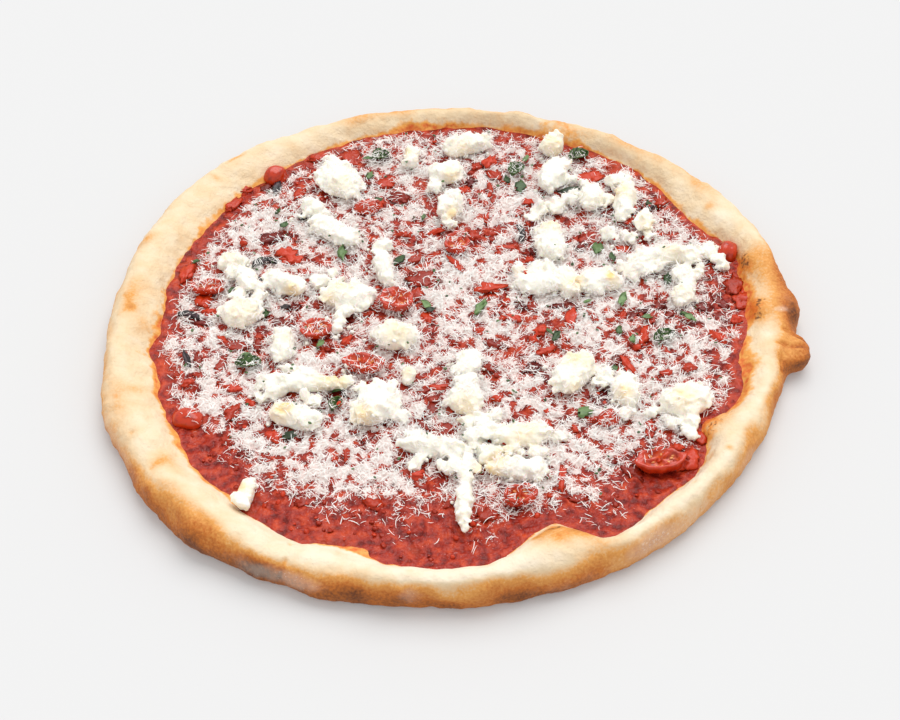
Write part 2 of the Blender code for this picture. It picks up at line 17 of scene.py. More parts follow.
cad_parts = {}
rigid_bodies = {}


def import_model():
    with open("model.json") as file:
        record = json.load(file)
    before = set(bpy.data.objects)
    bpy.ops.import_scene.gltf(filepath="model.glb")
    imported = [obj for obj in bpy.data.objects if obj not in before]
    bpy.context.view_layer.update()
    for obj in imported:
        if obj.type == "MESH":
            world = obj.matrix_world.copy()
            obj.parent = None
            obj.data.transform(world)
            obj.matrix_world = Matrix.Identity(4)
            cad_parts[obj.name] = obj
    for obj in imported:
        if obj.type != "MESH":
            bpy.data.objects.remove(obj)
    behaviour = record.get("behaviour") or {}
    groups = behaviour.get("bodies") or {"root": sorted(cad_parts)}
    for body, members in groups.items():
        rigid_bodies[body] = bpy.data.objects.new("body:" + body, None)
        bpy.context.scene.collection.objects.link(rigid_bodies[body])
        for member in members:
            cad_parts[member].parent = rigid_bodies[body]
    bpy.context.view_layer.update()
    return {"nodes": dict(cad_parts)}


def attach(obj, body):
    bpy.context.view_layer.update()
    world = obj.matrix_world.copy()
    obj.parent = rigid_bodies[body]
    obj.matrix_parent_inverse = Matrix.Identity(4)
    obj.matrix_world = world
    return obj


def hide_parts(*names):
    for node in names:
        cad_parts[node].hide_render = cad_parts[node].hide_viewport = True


bl_info = {
    "name": "Ricotta and Tomato Pizza",
    "version": (1, 0, 0),
    "blender": (4, 5, 0),
    "location": "3D View > Sidebar > Pizza",
    "description": "Builds the surfaces of a ricotta and tomato pizza",
    "category": "Add Mesh",
}

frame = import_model()

MM = 0.001
CENTRE = Vector((-6.5 * MM, 0.8 * MM, 0))   # middle of the round dough; the knob shifts the box

# The grid of the dough's surface.
TURN_STEPS = 1080
SECTION_STEPS = 74
HUB_INSET = 10 * MM        # the rays of a section start this far inside the edge
HUB_HEIGHT = 4 * MM
BASE_TOP = 5 * MM
OUTSIDE = 250 * MM         # from the middle to past the dough's edge
EDGE_HEIGHT = 7 * MM       # where the edge is measured
RAYS = 150                 # of a section, from the base's top over the rim to its foot
FIRST_RAY, LAST_RAY = 176, -58   # their directions, in degrees above level and outwards
NO_RELIEF, FULL_RELIEF = 0.985, 0.90   # shares of a section, near the foot
BASE_RINGS = (0.15, 0.4, 0.7, 0.92)    # shares of the way from the middle, under the sauce
FOOT_RINGS = (0.96, 0.9, 0.8, 0.65, 0.5, 0.35, 0.2, 0.07)   # and on the underside
FOOT_TONE, FOOT_FLOUR = 0.62, 0.8      # browning and flour of the underside
RING_RADIUS = 150 * MM     # of the ring that the oil band's unevenness follows
SAUCE_TOP = 8.8 * MM       # height of the sauce against the rim

# Marks on the rim: (x, y, height, spread round the rim, spread across it, amount), with the
# lengths in mm from the dough's middle.
BROWNED = (
    (165, 15, 16, 20, 9, 0.32), (169, 2, 13, 9, 9, 0.36), (160, 34, 18, 12, 7, 0.20),
    (150, 38, 14, 7, 6, 0.32), (152, 5, 13, 8, 5, 0.38), (166, -24, 12, 13, 12, 0.34),
    (171, -20, 9, 12, 8, 0.20), (127, -67, 13, 9, 7, 0.30), (120, -88, 13, 3, 2.5, 0.16),
    (127, -88, 19, 1.5, 1.5, 0.25), (138, -77, 17, 5, 4, 0.16), (154, -52, 10, 14, 5, 0.20),
    (136, -88, 11, 14, 6, 0.18), (84, -138, 13, 14, 5, 0.16), (44, -122, 9, 11, 3, 0.30),
    (33, -160, 7, 13, 5, 0.26), (3, -164, 6, 14, 4, 0.22), (-29, -162, 8, 12, 9, 0.28),
    (-36, -161, 12, 7, 5, 0.14), (-76, -150, 11, 8, 5, 0.28), (-66, -152, 13, 6, 4, 0.16),
    (-107, -134, 10, 8, 7, 0.30), (-99, -134, 15, 7, 5, 0.22), (-112, -122, 16, 9, 4, 0.14),
    (-128, -110, 12, 8, 6, 0.26), (-138, -94, 11, 14, 6, 0.22), (-122, -93, 15, 8, 4, 0.22),
    (-126, -95, 17, 3, 3, 0.12), (-150, -50, 15, 12, 5, 0.12), (-141, -49, 15, 4, 7, 0.13),
    (-146, -66, 16, 8, 6, 0.10), (-150, 7, 19, 9, 3, 0.20), (-149, 16, 18, 8, 6, 0.12),
    (-148, 3, 18, 3, 3, 0.22), (-147, 53, 17, 4, 3, 0.24), (-143, -6, 15, 5, 5, 0.10),
    (-117, 102, 16, 2, 3, 0.18), (-108, 117, 16, 6, 1.2, 0.22), (-45, 152, 16, 14, 4, 0.16),
    (-23, 159, 16, 16, 4, 0.20), (20, 160, 15, 30, 4, 0.14), (62, 148, 15, 10, 3, 0.22),
    (100, 127, 16, 26, 4, 0.16), (131, 96, 17, 10, 4, 0.16), (135, 80, 15, 2, 3, 0.20),
    (142, 72, 15, 8, 5, -0.10), (156, -7, 13, 12, 5, -0.12), (-103, -129, 18, 16, 6, 0.26),
    (-86, -145, 8, 16, 7, 0.20), (-47, -158, 10, 18, 7, 0.30), (50, -156, 8, 16, 6, 0.26),
    (-118, -112, 17, 12, 5, 0.16), (41, -134, 14, 4, 4, 0.34), (46, -129, 14, 4, 4, 0.38),
    (51, -128, 14, 4, 4, 0.38), (57, -132, 15, 4, 4, 0.34), (62, -136, 16, 4, 4, 0.28),
    (50, -137, 19, 12, 7, 0.38), (70, -140, 19, 8, 6, 0.18), (58, -149, 17, 16, 7, 0.12),
)
OILED = (
    (147, 43, 10, 8, 6, 0.8), (152, 34, 13, 8, 5, 0.6), (149, 20, 9, 8, 6, 0.9), (149, 5, 8, 10, 6, 0.9),
    (147, -14, 7, 4, 5, 0.7), (141, -32, 6, 10, 7, 1.0), (140, -48, 8, 9, 7, 0.9),
    (127, -64, 9, 10, 8, 0.8), (120, -74, 12, 7, 6, 0.8), (66, 142, 12, 12, 8, 0.9),
    (54, 148, 12, 5, 5, 0.7), (47, -125, 11, 13, 6, 0.7), (51, -136, 19, 7, 6, 0.6),
    (-36, -139, 8, 10, 4, 0.9), (-10, 153, 10, 24, 4, 0.6), (-138, 3, 11, 10, 6, 0.6),
    (103, 117, 9, 3, 3, 0.8), (-147, 54, 17, 3, 3, 0.35), (-149, -54, 17, 2.5, 2.5, 0.7),
    (136, 79, 14, 2, 4, 0.45), (33, 153, 11, 12, 4, 0.6), (-130, -45, 7, 5, 4, 0.9),
    (-120, -79, 8, 4, 4, 0.8), (-112, 95, 9, 12, 4, 0.6), (-135, -30, 8, 12, 4, 0.6),
    (-95, 118, 9, 10, 3, 0.5), (-105, -98, 9, 12, 3, 0.5), (-143, -23, 11, 1.5, 6, 0.8),
)
# Places where the skin broke into small dark specks.
SPECKLED = (
    (150, 38, 14, 6, 5, 1.0), (148, 43, 13, 3, 4, 0.8), (153, 10, 14, 4, 3, 1.0), (151, 2, 13, 4, 4, 1.0),
    (155, 10, 13, 3, 3, 0.5), (128, -65, 12, 9, 6, 1.0), (120, -72, 11, 5, 6, 0.7),
    (141, -38, 6, 10, 3, 0.5), (48, -128, 14, 12, 4, 1.0), (-34, -139, 8, 8, 3, 0.6),
    (-148, 4, 18, 4, 3, 0.4), (66, 144, 13, 8, 3, 0.4),
)
FLOURED = (
    (-75, -150, 9, 24, 6, 0.7), (-59, -155, 11, 12, 4, 0.6), (-140, -88, 11, 26, 6, 0.6),
    (100, -124, 9, 34, 7, 0.9), (88, -133, 12, 10, 5, 0.9), (165, 8, 16, 14, 8, 0.40),
    (163, -22, 14, 9, 9, 0.4), (155, 8, 13, 1.6, 1.6, 2.5), (161, 4, 17, 1.2, 4, 1.2),
    (50, -158, 6, 20, 6, 0.5), (-13, -163, 12, 6, 7, 0.7), (8, -160, 16, 5, 1.5, 0.9),
    (136, -86, 10, 12, 6, 0.6), (-150, -66, 9, 16, 8, 0.6),
)
# Raised places, with their height in mm as the amount.
BLISTERS = (
    (150, 39, 14, 7, 5, 1.6), (152, 6, 13, 7, 4, 1.6), (135, 79, 14, 3, 3, 0.7), (-149, 16, 18, 9, 6, 0.8),
    (-122, -92, 14, 7, 3.5, 1.3), (-117, -99, 14, 9, 5, -0.8), (-127, -112, 13, 4, 5, 1.4),
    (-107, -133, 11, 8, 6, 1.0), (-36, -138, 9, 7, 4, 1.4), (127, -66, 12, 4, 3, 0.8),
    (122, -72, 12, 3, 3, 0.8), (-40, -161, 8, 10, 6, 0.9), (-61, -157, 7, 10, 5, 0.7),
    (-84, -146, 8, 6, 5, 0.6), (20, -163, 8, 14, 6, 0.6), (84, -140, 9, 6, 6, 0.7),
    (-130, -81, 16, 3, 9, 0.8), (-147, 53, 17, 4, 3, 0.5), (165, -17, 16, 2.5, 8, 0.5),
)
# Creases of the rim: (x, y, height) of both ends, then width and depth, all in mm.
CREASES = (
    (157, -18, 17, 163, -19, 15, 1.3, 2.0), (163, -19, 15, 171, -17, 13, 1.3, 1.9),
    (162, -8, 16, 172, -12, 11, 1.5, 1.6), (157, -22, 17, 159, -34, 13, 1.2, 0.9),
    (159, -34, 13, 165, -31, 7, 1.4, 1.4), (-139, -77, 17, -124, -72, 10, 1.3, 0.9),
    (-64, -136, 13, -66, -149, 16, 1.0, 1.3), (-66, -149, 16, -69, -153, 8, 1.1, 1.1),
    (-148, 3, 18, -138, -9, 11, 0.8, 0.6), (-148, 3, 18, -153, 12, 18, 0.8, 0.5),
    (-148, 3, 18, -142, 8, 14, 0.8, 0.5), (-148, 3, 18, -154, -2, 17, 0.8, 0.5),
    (56, -125, 13, 65, -134, 10, 1.4, 2.0), (148, 46, 12, 152, 45, 16, 0.7, 0.6),
    (-118, -86, 12, -128, -98, 17, 1.0, 0.8), (-42, -136, 10, -44, -144, 16, 1.2, 0.7),
    (-93, -142, 12, -86, -140, 17, 1.2, 0.5), (152, 17, 12, 156, 16, 15, 0.7, 0.5),
    (3, -150, 14, 8, -163, 13, 1.2, 0.4), (110, -106, 17, 114, -118, 8, 1.4, 0.5),
    (-13, -155, 18, -16, -164, 8, 1.3, 0.6),
)
# How the browning changes round the dough: (turn, tone on top, direction of the surface at which
# it starts, in degrees from straight up towards the outside, and tone of the outer side). The tone
# on top is lowest at the front, from turn 230 to 345, partly for paler dough and partly as painted
# light that lightens the front of the crest.
BROWNING = (
    (0, 0.10, -20, 0.42), (12, 0.12, -10, 0.40), (25, 0.12, 30, 0.42), (60, 0.11, 12, 0.44),
    (90, 0.11, 5, 0.42), (130, 0.11, 25, 0.40), (180, 0.12, 32, 0.44), (205, 0.10, 26, 0.62),
    (230, 0.07, 15, 0.74), (260, 0.00, 28, 0.68), (290, 0.00, 22, 0.66), (308, 0.03, 30, 0.46),
    (330, 0.06, 24, 0.44), (345, 0.07, 12, 0.50), (360, 0.10, -20, 0.42),
)
# Width in mm of the orange band that oil left beside the sauce: (turn, width).
OIL_BAND = (
    (0, 6.0), (8, 5.0), (18, 3.0), (30, 2.8), (45, 1.4), (60, 1.8), (68, 4.5), (75, 2.5), (90, 3.0),
    (105, 2.0), (120, 1.4), (135, 2.6), (150, 3.4), (165, 3.0), (180, 4.2), (187, 1.8), (200, 2.6),
    (215, 2.2), (235, 1.3), (270, 1.0), (295, 1.0), (320, 1.2), (335, 3.8), (348, 6.5), (360, 6.0),
)
TOP_TONE, START, SIDE_TONE = 1, 2, 3   # items of a row of BROWNING


def linear(colour):
    """Linear red, green and blue of a colour given as sRGB hex."""
    shares = [int(colour[start:start + 2], 16) / 255 for start in (1, 3, 5)]
    return tuple(share / 12.92 if share <= 0.04045 else ((share + 0.055) / 1.055) ** 2.4 for share in shares)


def colour_property(name, description, colour):
    return FloatVectorProperty(
        name=name, description=description, subtype="COLOR", size=3, min=0, max=1, default=linear(colour)
    )


def length_property(name, description, default):
    return FloatProperty(
        name=name, description=description, subtype="DISTANCE", unit="LENGTH", min=0,
        precision=5, default=default,
    )


# ---- settings that a user would change ----

class DoughSettings(bpy.types.PropertyGroup):
    """Sizes and colours of the baked dough."""
    swell: length_property("Swell", "Height of the broad bumps of the rim", 1.15 * MM)
    pimple: length_property("Pimple", "Height of the small blisters of the rim", 0.28 * MM)
    lightest: colour_property("Lightest", "Dough that has not browned", "#efdfc6")
    pale: colour_property("Pale", "Dough that has hardly browned", "#e6cca6")
    golden: colour_property("Golden", "Lightly browned dough", "#de9c50")
    brown: colour_property("Brown", "Well browned dough", "#bd6b26")
    dark: colour_property("Dark", "The darkest spots", "#65361a")
    oil: colour_property("Oil", "Tint of dough with a little oil from the sauce", "#ffc878")
    soaked: colour_property("Soaked", "Dough soaked with oil and tomato", "#d7642c")
    flour: colour_property("Flour", "Flour left on the crust", "#efe0cf")


class SauceSettings(bpy.types.PropertyGroup):
    """Sizes and colours of the tomato sauce."""
    pulp: length_property("Pulp", "Height of the lumps of pulp", 1.0 * MM)
    red: colour_property("Red", "Most of the sauce", "#9c2919")
    deep: colour_property("Deep", "Its hollows", "#6b160f")
    orange: colour_property("Orange", "Oily places", "#cb4b28")


class CheeseSettings(bpy.types.PropertyGroup):
    """Sizes, numbers and colours of the grated hard cheese."""
    width: length_property("Width", "Width of a shred", 0.42 * MM)
    thickness: length_property("Thickness", "Thickness of a shred", 0.2 * MM)
    pile: length_property("Pile", "Depth of the cheese where it lies thick", 1.2 * MM)
    shreds: IntProperty(
        name="Shreds", description="Shreds for each square metre, before each layer takes its share",
        default=1000000, min=0,
    )
    white: colour_property("White", "Dry cheese", "#f6f5f1")
    # The soaked colour also stands in for painted light: the sauce's red seen through shreds low in the
    # pile.
    soaked: colour_property("Soaked", "Cheese that has taken up sauce", "#f0cdc5")


class RicottaSettings(bpy.types.PropertyGroup):
    """Sizes and colours of the ricotta lumps."""
    curds: IntProperty(name="Curds", description="Curds on a lump 20 mm across", default=34, min=1)
    voxel: length_property("Voxel", "Fineness of the lumps' surface", 0.6 * MM)
    crumb: length_property("Crumb", "Size of the fine crumbs of the surface", 1.4 * MM)
    depth: length_property("Depth", "Depth of the surface between the fine crumbs", 0.35 * MM)
    white: colour_property("White", "Fresh ricotta", "#f7f4e8")
    stain: colour_property("Stain", "Places with oil on them", "#f4cf85")


class ToppingSettings(bpy.types.PropertyGroup):
    """Colours of the tomatoes, olives and basil."""
    skin: colour_property("Skin", "Skin of the cherry tomatoes", "#c03410")
    cooked: colour_property("Cooked", "Darkest pieces of tomato", "#5d0d08")
    flesh: colour_property("Flesh", "Cut flesh of the tomatoes", "#c4391f")
    jelly: colour_property("Jelly", "Juicy middle of the tomatoes", "#d9582a")
    seed: colour_property("Seed", "Tomato seeds", "#e9c27a")
    olive: colour_property("Olive", "Skin of the black olives", "#1d1719")
    leaf: colour_property("Leaf", "Face of the basil leaves", "#33511f")
    leaf_dark: colour_property("Dark leaf", "Cooked places of the leaves", "#1c2a17")


class StageSettings(bpy.types.PropertyGroup):
    """The floor, the light and the camera."""
    floor: colour_property("Floor", "Colour of the floor", "#c3c3c3")
    glow: FloatProperty(name="Glow", description="Light that the floor gives off", default=0.15, min=0)
    ambient: FloatProperty(
        name="Ambient", description="Brightness of the light from all round", default=0.85, min=0
    )
    key: FloatProperty(name="Key", description="Strength of the soft light from above", default=1.9, min=0)
    distance: length_property("Distance", "From the camera to the pizza", 0.894)


# ---- small helpers ----

def mesh_object(name, mesh):
    """An object at the origin, linked to the scene."""
    piece = bpy.data.objects.new(name, mesh)
    bpy.context.scene.collection.objects.link(piece)
    return piece


def baked_mesh(piece):
    """The mesh of an object with its modifiers; the object is removed."""
    depsgraph = bpy.context.evaluated_depsgraph_get()
    mesh = bpy.data.meshes.new_from_object(piece.evaluated_get(depsgraph))
    bpy.data.objects.remove(piece)
    return mesh


def mesh_of(bm, name):
    """A mesh with the contents of a bmesh, which is freed."""
    mesh = bpy.data.meshes.new(name)
    bm.to_mesh(mesh)
    bm.free()
    return mesh


def merged_copy(node):
    """A copy of a CAD node's mesh in one piece, without its doubles."""
    bm = bmesh.new()
    bm.from_mesh(frame["nodes"][node].data)
    bmesh.ops.remove_doubles(bm, verts=bm.verts, dist=0.001 * MM)
    mesh = mesh_of(bm, node + ".copy")
    mesh.materials.clear()
    return mesh


def rounded_copy(node, levels):
    """A copy of a CAD node's mesh with its facets rounded off."""
    piece = mesh_object("rounding", merged_copy(node))
    subdivision = piece.modifiers.new("round", "SUBSURF")
    subdivision.levels = levels
    subdivision.render_levels = levels
    return baked_mesh(piece)


def tree_of(*meshes):
    """One search tree for the surfaces of several meshes."""
    points = []
    faces = []
    for mesh in meshes:
        start = len(points)
        points += [vertex.co.copy() for vertex in mesh.vertices]
        faces += [[start + corner for corner in polygon.vertices] for polygon in mesh.polygons]
    return BVHTree.FromPolygons(points, faces)


def points_of(mesh):
    points = np.empty(len(mesh.vertices) * 3)
    mesh.vertices.foreach_get("co", points)
    return points.reshape(-1, 3)


def normals_of(mesh):
    normals = np.empty(len(mesh.vertices) * 3)
    mesh.vertex_normals.foreach_get("vector", normals)
    return normals.reshape(-1, 3)


def set_points(mesh, points):
    mesh.vertices.foreach_set("co", points.ravel())
    mesh.update()


def set_attribute(mesh, name, values):
    attribute = mesh.attributes.new(name, "FLOAT", "POINT")
    attribute.data.foreach_set("value", np.asarray(values, dtype=np.float32).ravel())


def clouds(points, size, seed):
    """Smooth noise from about -1 to 1 at each point, with features of one size."""
    shift = Vector((17.3, 9.1, 5.7)) * seed
    values = [noise.noise(Vector(point) / size + shift) for point in points.reshape(-1, 3)]
    return np.array(values).reshape(points.shape[:-1])


def grains(points, size, seed):
    """0 in the middle of a grain and about 1 in the clefts between grains."""
    shift = Vector((3.1, 7.7, 1.9)) * seed
    return np.array([noise.voronoi(Vector(point) / size + shift)[0][0] for point in points])


def level_points(x, y):
    """Points at height 0, for patterns that only follow the place."""
    return np.stack((x, y, np.zeros_like(x)), -1)


def smooth_step(low, high, values):
    """0 up to low, 1 from high, with an even rise between; low may be the larger one."""
    share = np.clip((values - low) / (high - low), 0, 1)
    return share * share * (3 - 2 * share)


def blurred(values, reach, axis, closed):
    """An array blurred along one axis, round a closed ring or up to two open ends."""
    count = values.shape[axis]
    steps = range(-math.ceil(2.5 * reach), math.ceil(2.5 * reach) + 1)
    weights = [math.exp(-(step / reach) ** 2 / 2) for step in steps]
    total = np.zeros_like(values)
    for step, weight in zip(steps, weights):
        index = np.arange(count) + step
        index = index % count if closed else np.clip(index, 0, count - 1)
        total += weight / sum(weights) * np.take(values, index, axis)
    return total


def grid_mesh(name, points, first_pole, last_pole):
    """A closed mesh from points[ring, place in the ring], with a pole at each end."""
    rings, count = points.shape[:2]
    places = [tuple(point) for point in (*points.reshape(-1, 3), first_pole, last_pole)]
    top, bottom = rings * count, rings * count + 1
    faces = []
    for ring in range(rings - 1):
        start = ring * count
        for place in range(count):
            beside = (place + 1) % count
            above = start + count
            faces.append((start + place, start + beside, above + beside, above + place))
    last = (rings - 1) * count
    for place in range(count):
        beside = (place + 1) % count
        faces.append((top, beside, place))
        faces.append((bottom, last + place, last + beside))
    mesh = bpy.data.meshes.new(name)
    mesh.from_pydata(places, [], faces)
    bm = bmesh.new()
    bm.from_mesh(mesh)
    bmesh.ops.recalc_face_normals(bm, faces=bm.faces)
    bm.to_mesh(mesh)
    bm.free()
    return mesh


def finished(piece, material, slot, *nodes, smooth=True):
    """Give a piece its material and its body, and hide the nodes that it stands for."""
    piece.data.materials.clear()
    piece.data.materials.append(material)
    if smooth:
        piece.data.shade_smooth()
    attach(piece, "root")
    if nodes:
        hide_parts(*nodes)
    return piece


def node_names(kind):
    return sorted(name for name in frame["nodes"] if name.startswith(kind))


def placing(node):
    """Middle, turn, length, width, lowest and highest point of a CAD node, from its corners."""
    points = points_of(frame["nodes"][node].data)
    middle = (points.min(0) + points.max(0)) / 2
    flat = points[:, :2] - points[:, :2].mean(0)
    _sizes, axes = np.linalg.eigh(flat.T @ flat)
    along, across = flat @ axes[:, 1], flat @ axes[:, 0]
    turn = math.atan2(axes[1, 1], axes[0, 1])
    return middle, turn, np.ptp(along), np.ptp(across), points[:, 2].min(), points[:, 2].max()


# ---- materials ----

def add(tree, kind, inputs=None, **settings):
    """Add a node with its settings; an input is a value or another node's output."""
    node = tree.nodes.new(kind)
    for name, value in settings.items():
        setattr(node, name, value)
    for name, value in (inputs or {}).items():
        if isinstance(value, bpy.types.NodeSocket):
            tree.links.new(value, node.inputs[name])
        else:
            node.inputs[name].default_value = value
    return node


def new_material(name, roughness, ior=1.45):
    """A material with its shader and the object coordinates that its patterns follow."""
    material = bpy.data.materials.new(name)
    material.use_nodes = True
    tree = material.node_tree
    shader = tree.nodes["Principled BSDF"]
    shader.inputs["Roughness"].default_value = roughness
    shader.inputs["IOR"].default_value = ior
    place = add(tree, "ShaderNodeTexCoord").outputs["Object"]
    return material, tree, shader, place


def per(size):
    """The scale of a pattern whose features are one size."""
    return 1 / size


def rgba(colour):
    return (*colour, 1)


def pattern(tree, place, size, detail=2.0):
    """Noise with features of one size, from 0 to 1."""
    inputs = {"Vector": place, "Scale": per(size), "Detail": detail}
    return add(tree, "ShaderNodeTexNoise", inputs).outputs["Fac"]


def attribute(tree, name):
    return add(tree, "ShaderNodeAttribute", attribute_name=name).outputs["Fac"]


def math_node(tree, operation, first, second, clamp=False):
    inputs = {0: first, 1: second}
    return add(tree, "ShaderNodeMath", inputs, operation=operation, use_clamp=clamp).outputs[0]


def times(tree, first, second, clamp=False):
    return math_node(tree, "MULTIPLY", first, second, clamp)


def plus(tree, first, second, clamp=False):
    return math_node(tree, "ADD", first, second, clamp)


def minus(tree, first, second, clamp=False):
    return math_node(tree, "SUBTRACT", first, second, clamp)


def sharpened(tree, value, low, high):
    """A value stretched so that low becomes 0 and high becomes 1."""
    inputs = {"Value": value, "From Min": low, "From Max": high}
    return add(tree, "ShaderNodeMapRange", inputs, interpolation_type="SMOOTHSTEP").outputs["Result"]


def varied(tree, value, noise_value, amount):
    """A value that noise moves up where the noise is above a half, and down where it is below."""
    swing = times(tree, minus(tree, noise_value, 0.5), amount)
    return plus(tree, value, swing)


def mixed(tree, share, first, second, blend="MIX"):
    """A colour between two colours, or between the first and their product."""
    node = add(tree, "ShaderNodeMix", {"Factor": share}, data_type="RGBA", blend_type=blend)
    for socket, colour in ((node.inputs[6], first), (node.inputs[7], second)):
        if isinstance(colour, bpy.types.NodeSocket):
            tree.links.new(colour, socket)
        else:
            socket.default_value = rgba(colour)
    return node.outputs[2]


def ramp(tree, value, stops):
    """Colours along a value: (place, colour) from 0 to 1."""
    node = add(tree, "ShaderNodeValToRGB", {"Fac": value})
    elements = node.color_ramp.elements
    while len(elements) < len(stops):
        elements.new(0.5)
    for element, (place, colour) in zip(elements, stops):
        element.position = place
        element.color = rgba(colour)
    return node.outputs["Color"]


def bumped(tree, shader, heights):
    """Fine relief on a shader: (pattern, depth in metres) for each scale."""
    normal = None
    for value, depth in heights:
        inputs = {"Height": value, "Distance": depth}
        if normal:
            inputs["Normal"] = normal
        normal = add(tree, "ShaderNodeBump", inputs).outputs["Normal"]
    tree.links.new(normal, shader.inputs["Normal"])


def dough_material(settings):
    """Baked bread dough: matte, with a browned skin, oil by the sauce, specks and some flour, and with
    painted shade in the creases and painted light on the front of the crest.
    """
    material, tree, shader, place = new_material("baked_dough", 0.6)
    shader.inputs["Specular IOR Level"].default_value = 0.35
    fine = pattern(tree, place, 1.2 * MM, 3)
    # The browning attribute also holds painted shade in the creases and painted light on the front of the
    # crest.
    baked = varied(tree, attribute(tree, "baked"), pattern(tree, place, 9 * MM, 4), 0.26)
    grain = times(tree, minus(tree, fine, 0.5), sharpened(tree, baked, 0.05, 0.5))
    baked = plus(tree, baked, times(tree, grain, 0.5), clamp=True)
    stops = (
        (0.0, settings.lightest), (0.13, settings.pale), (0.36, settings.golden),
        (0.66, settings.brown), (1.0, settings.dark),
    )
    colour = ramp(tree, baked, stops)
    oil = varied(tree, attribute(tree, "oil"), pattern(tree, place, 2.8 * MM, 4), 1.5)
    colour = mixed(tree, sharpened(tree, oil, 0.15, 0.95), colour, settings.oil, "MULTIPLY")
    colour = mixed(tree, sharpened(tree, oil, 0.85, 1.5), colour, settings.soaked)
    specks = varied(tree, attribute(tree, "specks"), pattern(tree, place, 1.7 * MM, 4), 2.2)
    speck = times(tree, sharpened(tree, specks, 0.75, 1.2), 0.85)
    colour = mixed(tree, speck, colour, settings.dark)
    dust = varied(tree, attribute(tree, "flour"), pattern(tree, place, 5 * MM, 4), 0.8)
    dusty = times(tree, sharpened(tree, dust, 0.3, 1.1), 0.28)
    grains_of_flour = varied(tree, attribute(tree, "flour"), pattern(tree, place, 1.0 * MM, 2), 4.0)
    grainy = times(tree, sharpened(tree, grains_of_flour, 1.2, 1.9), 0.6)
    dusty = math_node(tree, "MAXIMUM", dusty, grainy)
    tree.links.new(mixed(tree, dusty, colour, settings.flour), shader.inputs["Base Color"])
    bumped(tree, shader, ((pattern(tree, place, 3 * MM, 4), 0.8 * MM), (fine, 0.3 * MM)))
    return material


def sauce_material(settings, cheese):
    """Cooked tomato sauce: wet and glossy, with pulp, deeper hollows and oily orange places.

    Under the grated cheese it is pale with the cheese that has melted into it.
    """
    material, tree, shader, place = new_material("tomato_sauce", 0.2, 1.34)
    shader.inputs["Specular IOR Level"].default_value = 0.4
    pulp = pattern(tree, place, 4.5 * MM, 3)
    oily = sharpened(tree, pattern(tree, place, 16 * MM, 3), 0.50, 0.72)
    colour = ramp(tree, pulp, ((0.34, settings.deep), (0.50, settings.red), (0.74, settings.orange)))
    colour = mixed(tree, times(tree, oily, 0.45), colour, settings.orange)
    threads = pattern(tree, place, 0.9 * MM, 4)
    film = varied(tree, times(tree, attribute(tree, "melted"), 0.53), threads, 2.6)
    melted = sharpened(tree, film, 0.42, 0.95)
    colour = mixed(tree, melted, colour, mixed(tree, threads, cheese.soaked, cheese.white))
    tree.links.new(colour, shader.inputs["Base Color"])
    bumped(tree, shader, ((pulp, 2.0 * MM), (pattern(tree, place, 1.0 * MM, 3), 0.35 * MM)))
    return material


def cheese_material(settings, name, soaked):
    """Finely grated hard cheese: dull, and pink low in the pile, partly where it took up sauce and partly as
    painted light, for the red of the sauce showing through the thin shreds.
    """
    material, tree, shader, place = new_material(name, 0.55)
    # Partly painted light: the lower a shred lies, the pinker it is, as if the sauce shone through it.
    soaked_and_lit_through = times(tree, attribute(tree, "depth"), soaked)
    patches = sharpened(tree, pattern(tree, place, 7 * MM, 2), 0.3, 0.6)
    soaked_and_lit_through = times(tree, soaked_and_lit_through, patches, clamp=True)
    tree.links.new(mixed(tree, soaked_and_lit_through, settings.white, settings.soaked), shader.inputs["Base Color"])
    return material


def ricotta_material(settings):
    """Fresh ricotta: moist, soft white curd, with a little oil soaked in here and there."""
    material, tree, shader, place = new_material("ricotta_curd", 0.5)
    patches = times(tree, sharpened(tree, pattern(tree, place, 9 * MM, 3), 0.58, 0.78), 0.16)
    stain = math_node(tree, "MAXIMUM", patches, attribute(tree, "stain"))
    tree.links.new(mixed(tree, stain, settings.white, settings.stain), shader.inputs["Base Color"])
    shader.inputs["Subsurface Weight"].default_value = 0.35
    shader.inputs["Subsurface Radius"].default_value = (1.0, 0.8, 0.5)
    shader.inputs["Subsurface Scale"].default_value = 1.5 * MM
    bumped(tree, shader, ((pattern(tree, place, 1.2 * MM, 4), 0.35 * MM),))
    return material


def tomato_material(settings):
    """Cherry tomato: a tight glossy skin round firm flesh and a wet, seedy middle."""
    material, tree, shader, place = new_material("cherry_tomato", 0.2, 1.4)
    part = attribute(tree, "inside")
    uneven = pattern(tree, place, 3 * MM, 3)
    colour = ramp(tree, part, ((0.0, settings.skin), (0.5, settings.flesh), (1.0, settings.jelly)))
    colour = mixed(tree, sharpened(tree, uneven, 0.45, 0.75), colour, linear("#93200c"))
    tree.links.new(colour, shader.inputs["Base Color"])
    shader.inputs["Coat Weight"].default_value = 0.25
    shader.inputs["Coat Roughness"].default_value = 0.1
    bumped(tree, shader, ((uneven, 0.3 * MM),))
    return material


def chunk_material(settings):
    """Chopped tomato: wet red flesh, from dark cooked pieces to bright orange ones."""
    material, tree, shader, place = new_material("tomato_chunk", 0.22, 1.36)
    tone = plus(tree, attribute(tree, "tone"), times(tree, pattern(tree, place, 4 * MM, 2), 0.4))
    tone = minus(tree, tone, 0.2, clamp=True)
    colour = ramp(tree, tone, ((0.0, settings.cooked), (0.7, settings.skin), (1.0, settings.flesh)))
    tree.links.new(colour, shader.inputs["Base Color"])
    bumped(tree, shader, ((pattern(tree, place, 1.6 * MM, 3), 0.5 * MM),))
    return material


def seed_material(settings):
    """Tomato seeds: small, pale and slimy."""
    material, tree, shader, place = new_material("tomato_seed", 0.25, 1.4)
    colour = mixed(tree, pattern(tree, place, 1 * MM), settings.seed, settings.jelly)
    tree.links.new(colour, shader.inputs["Base Color"])
    return material


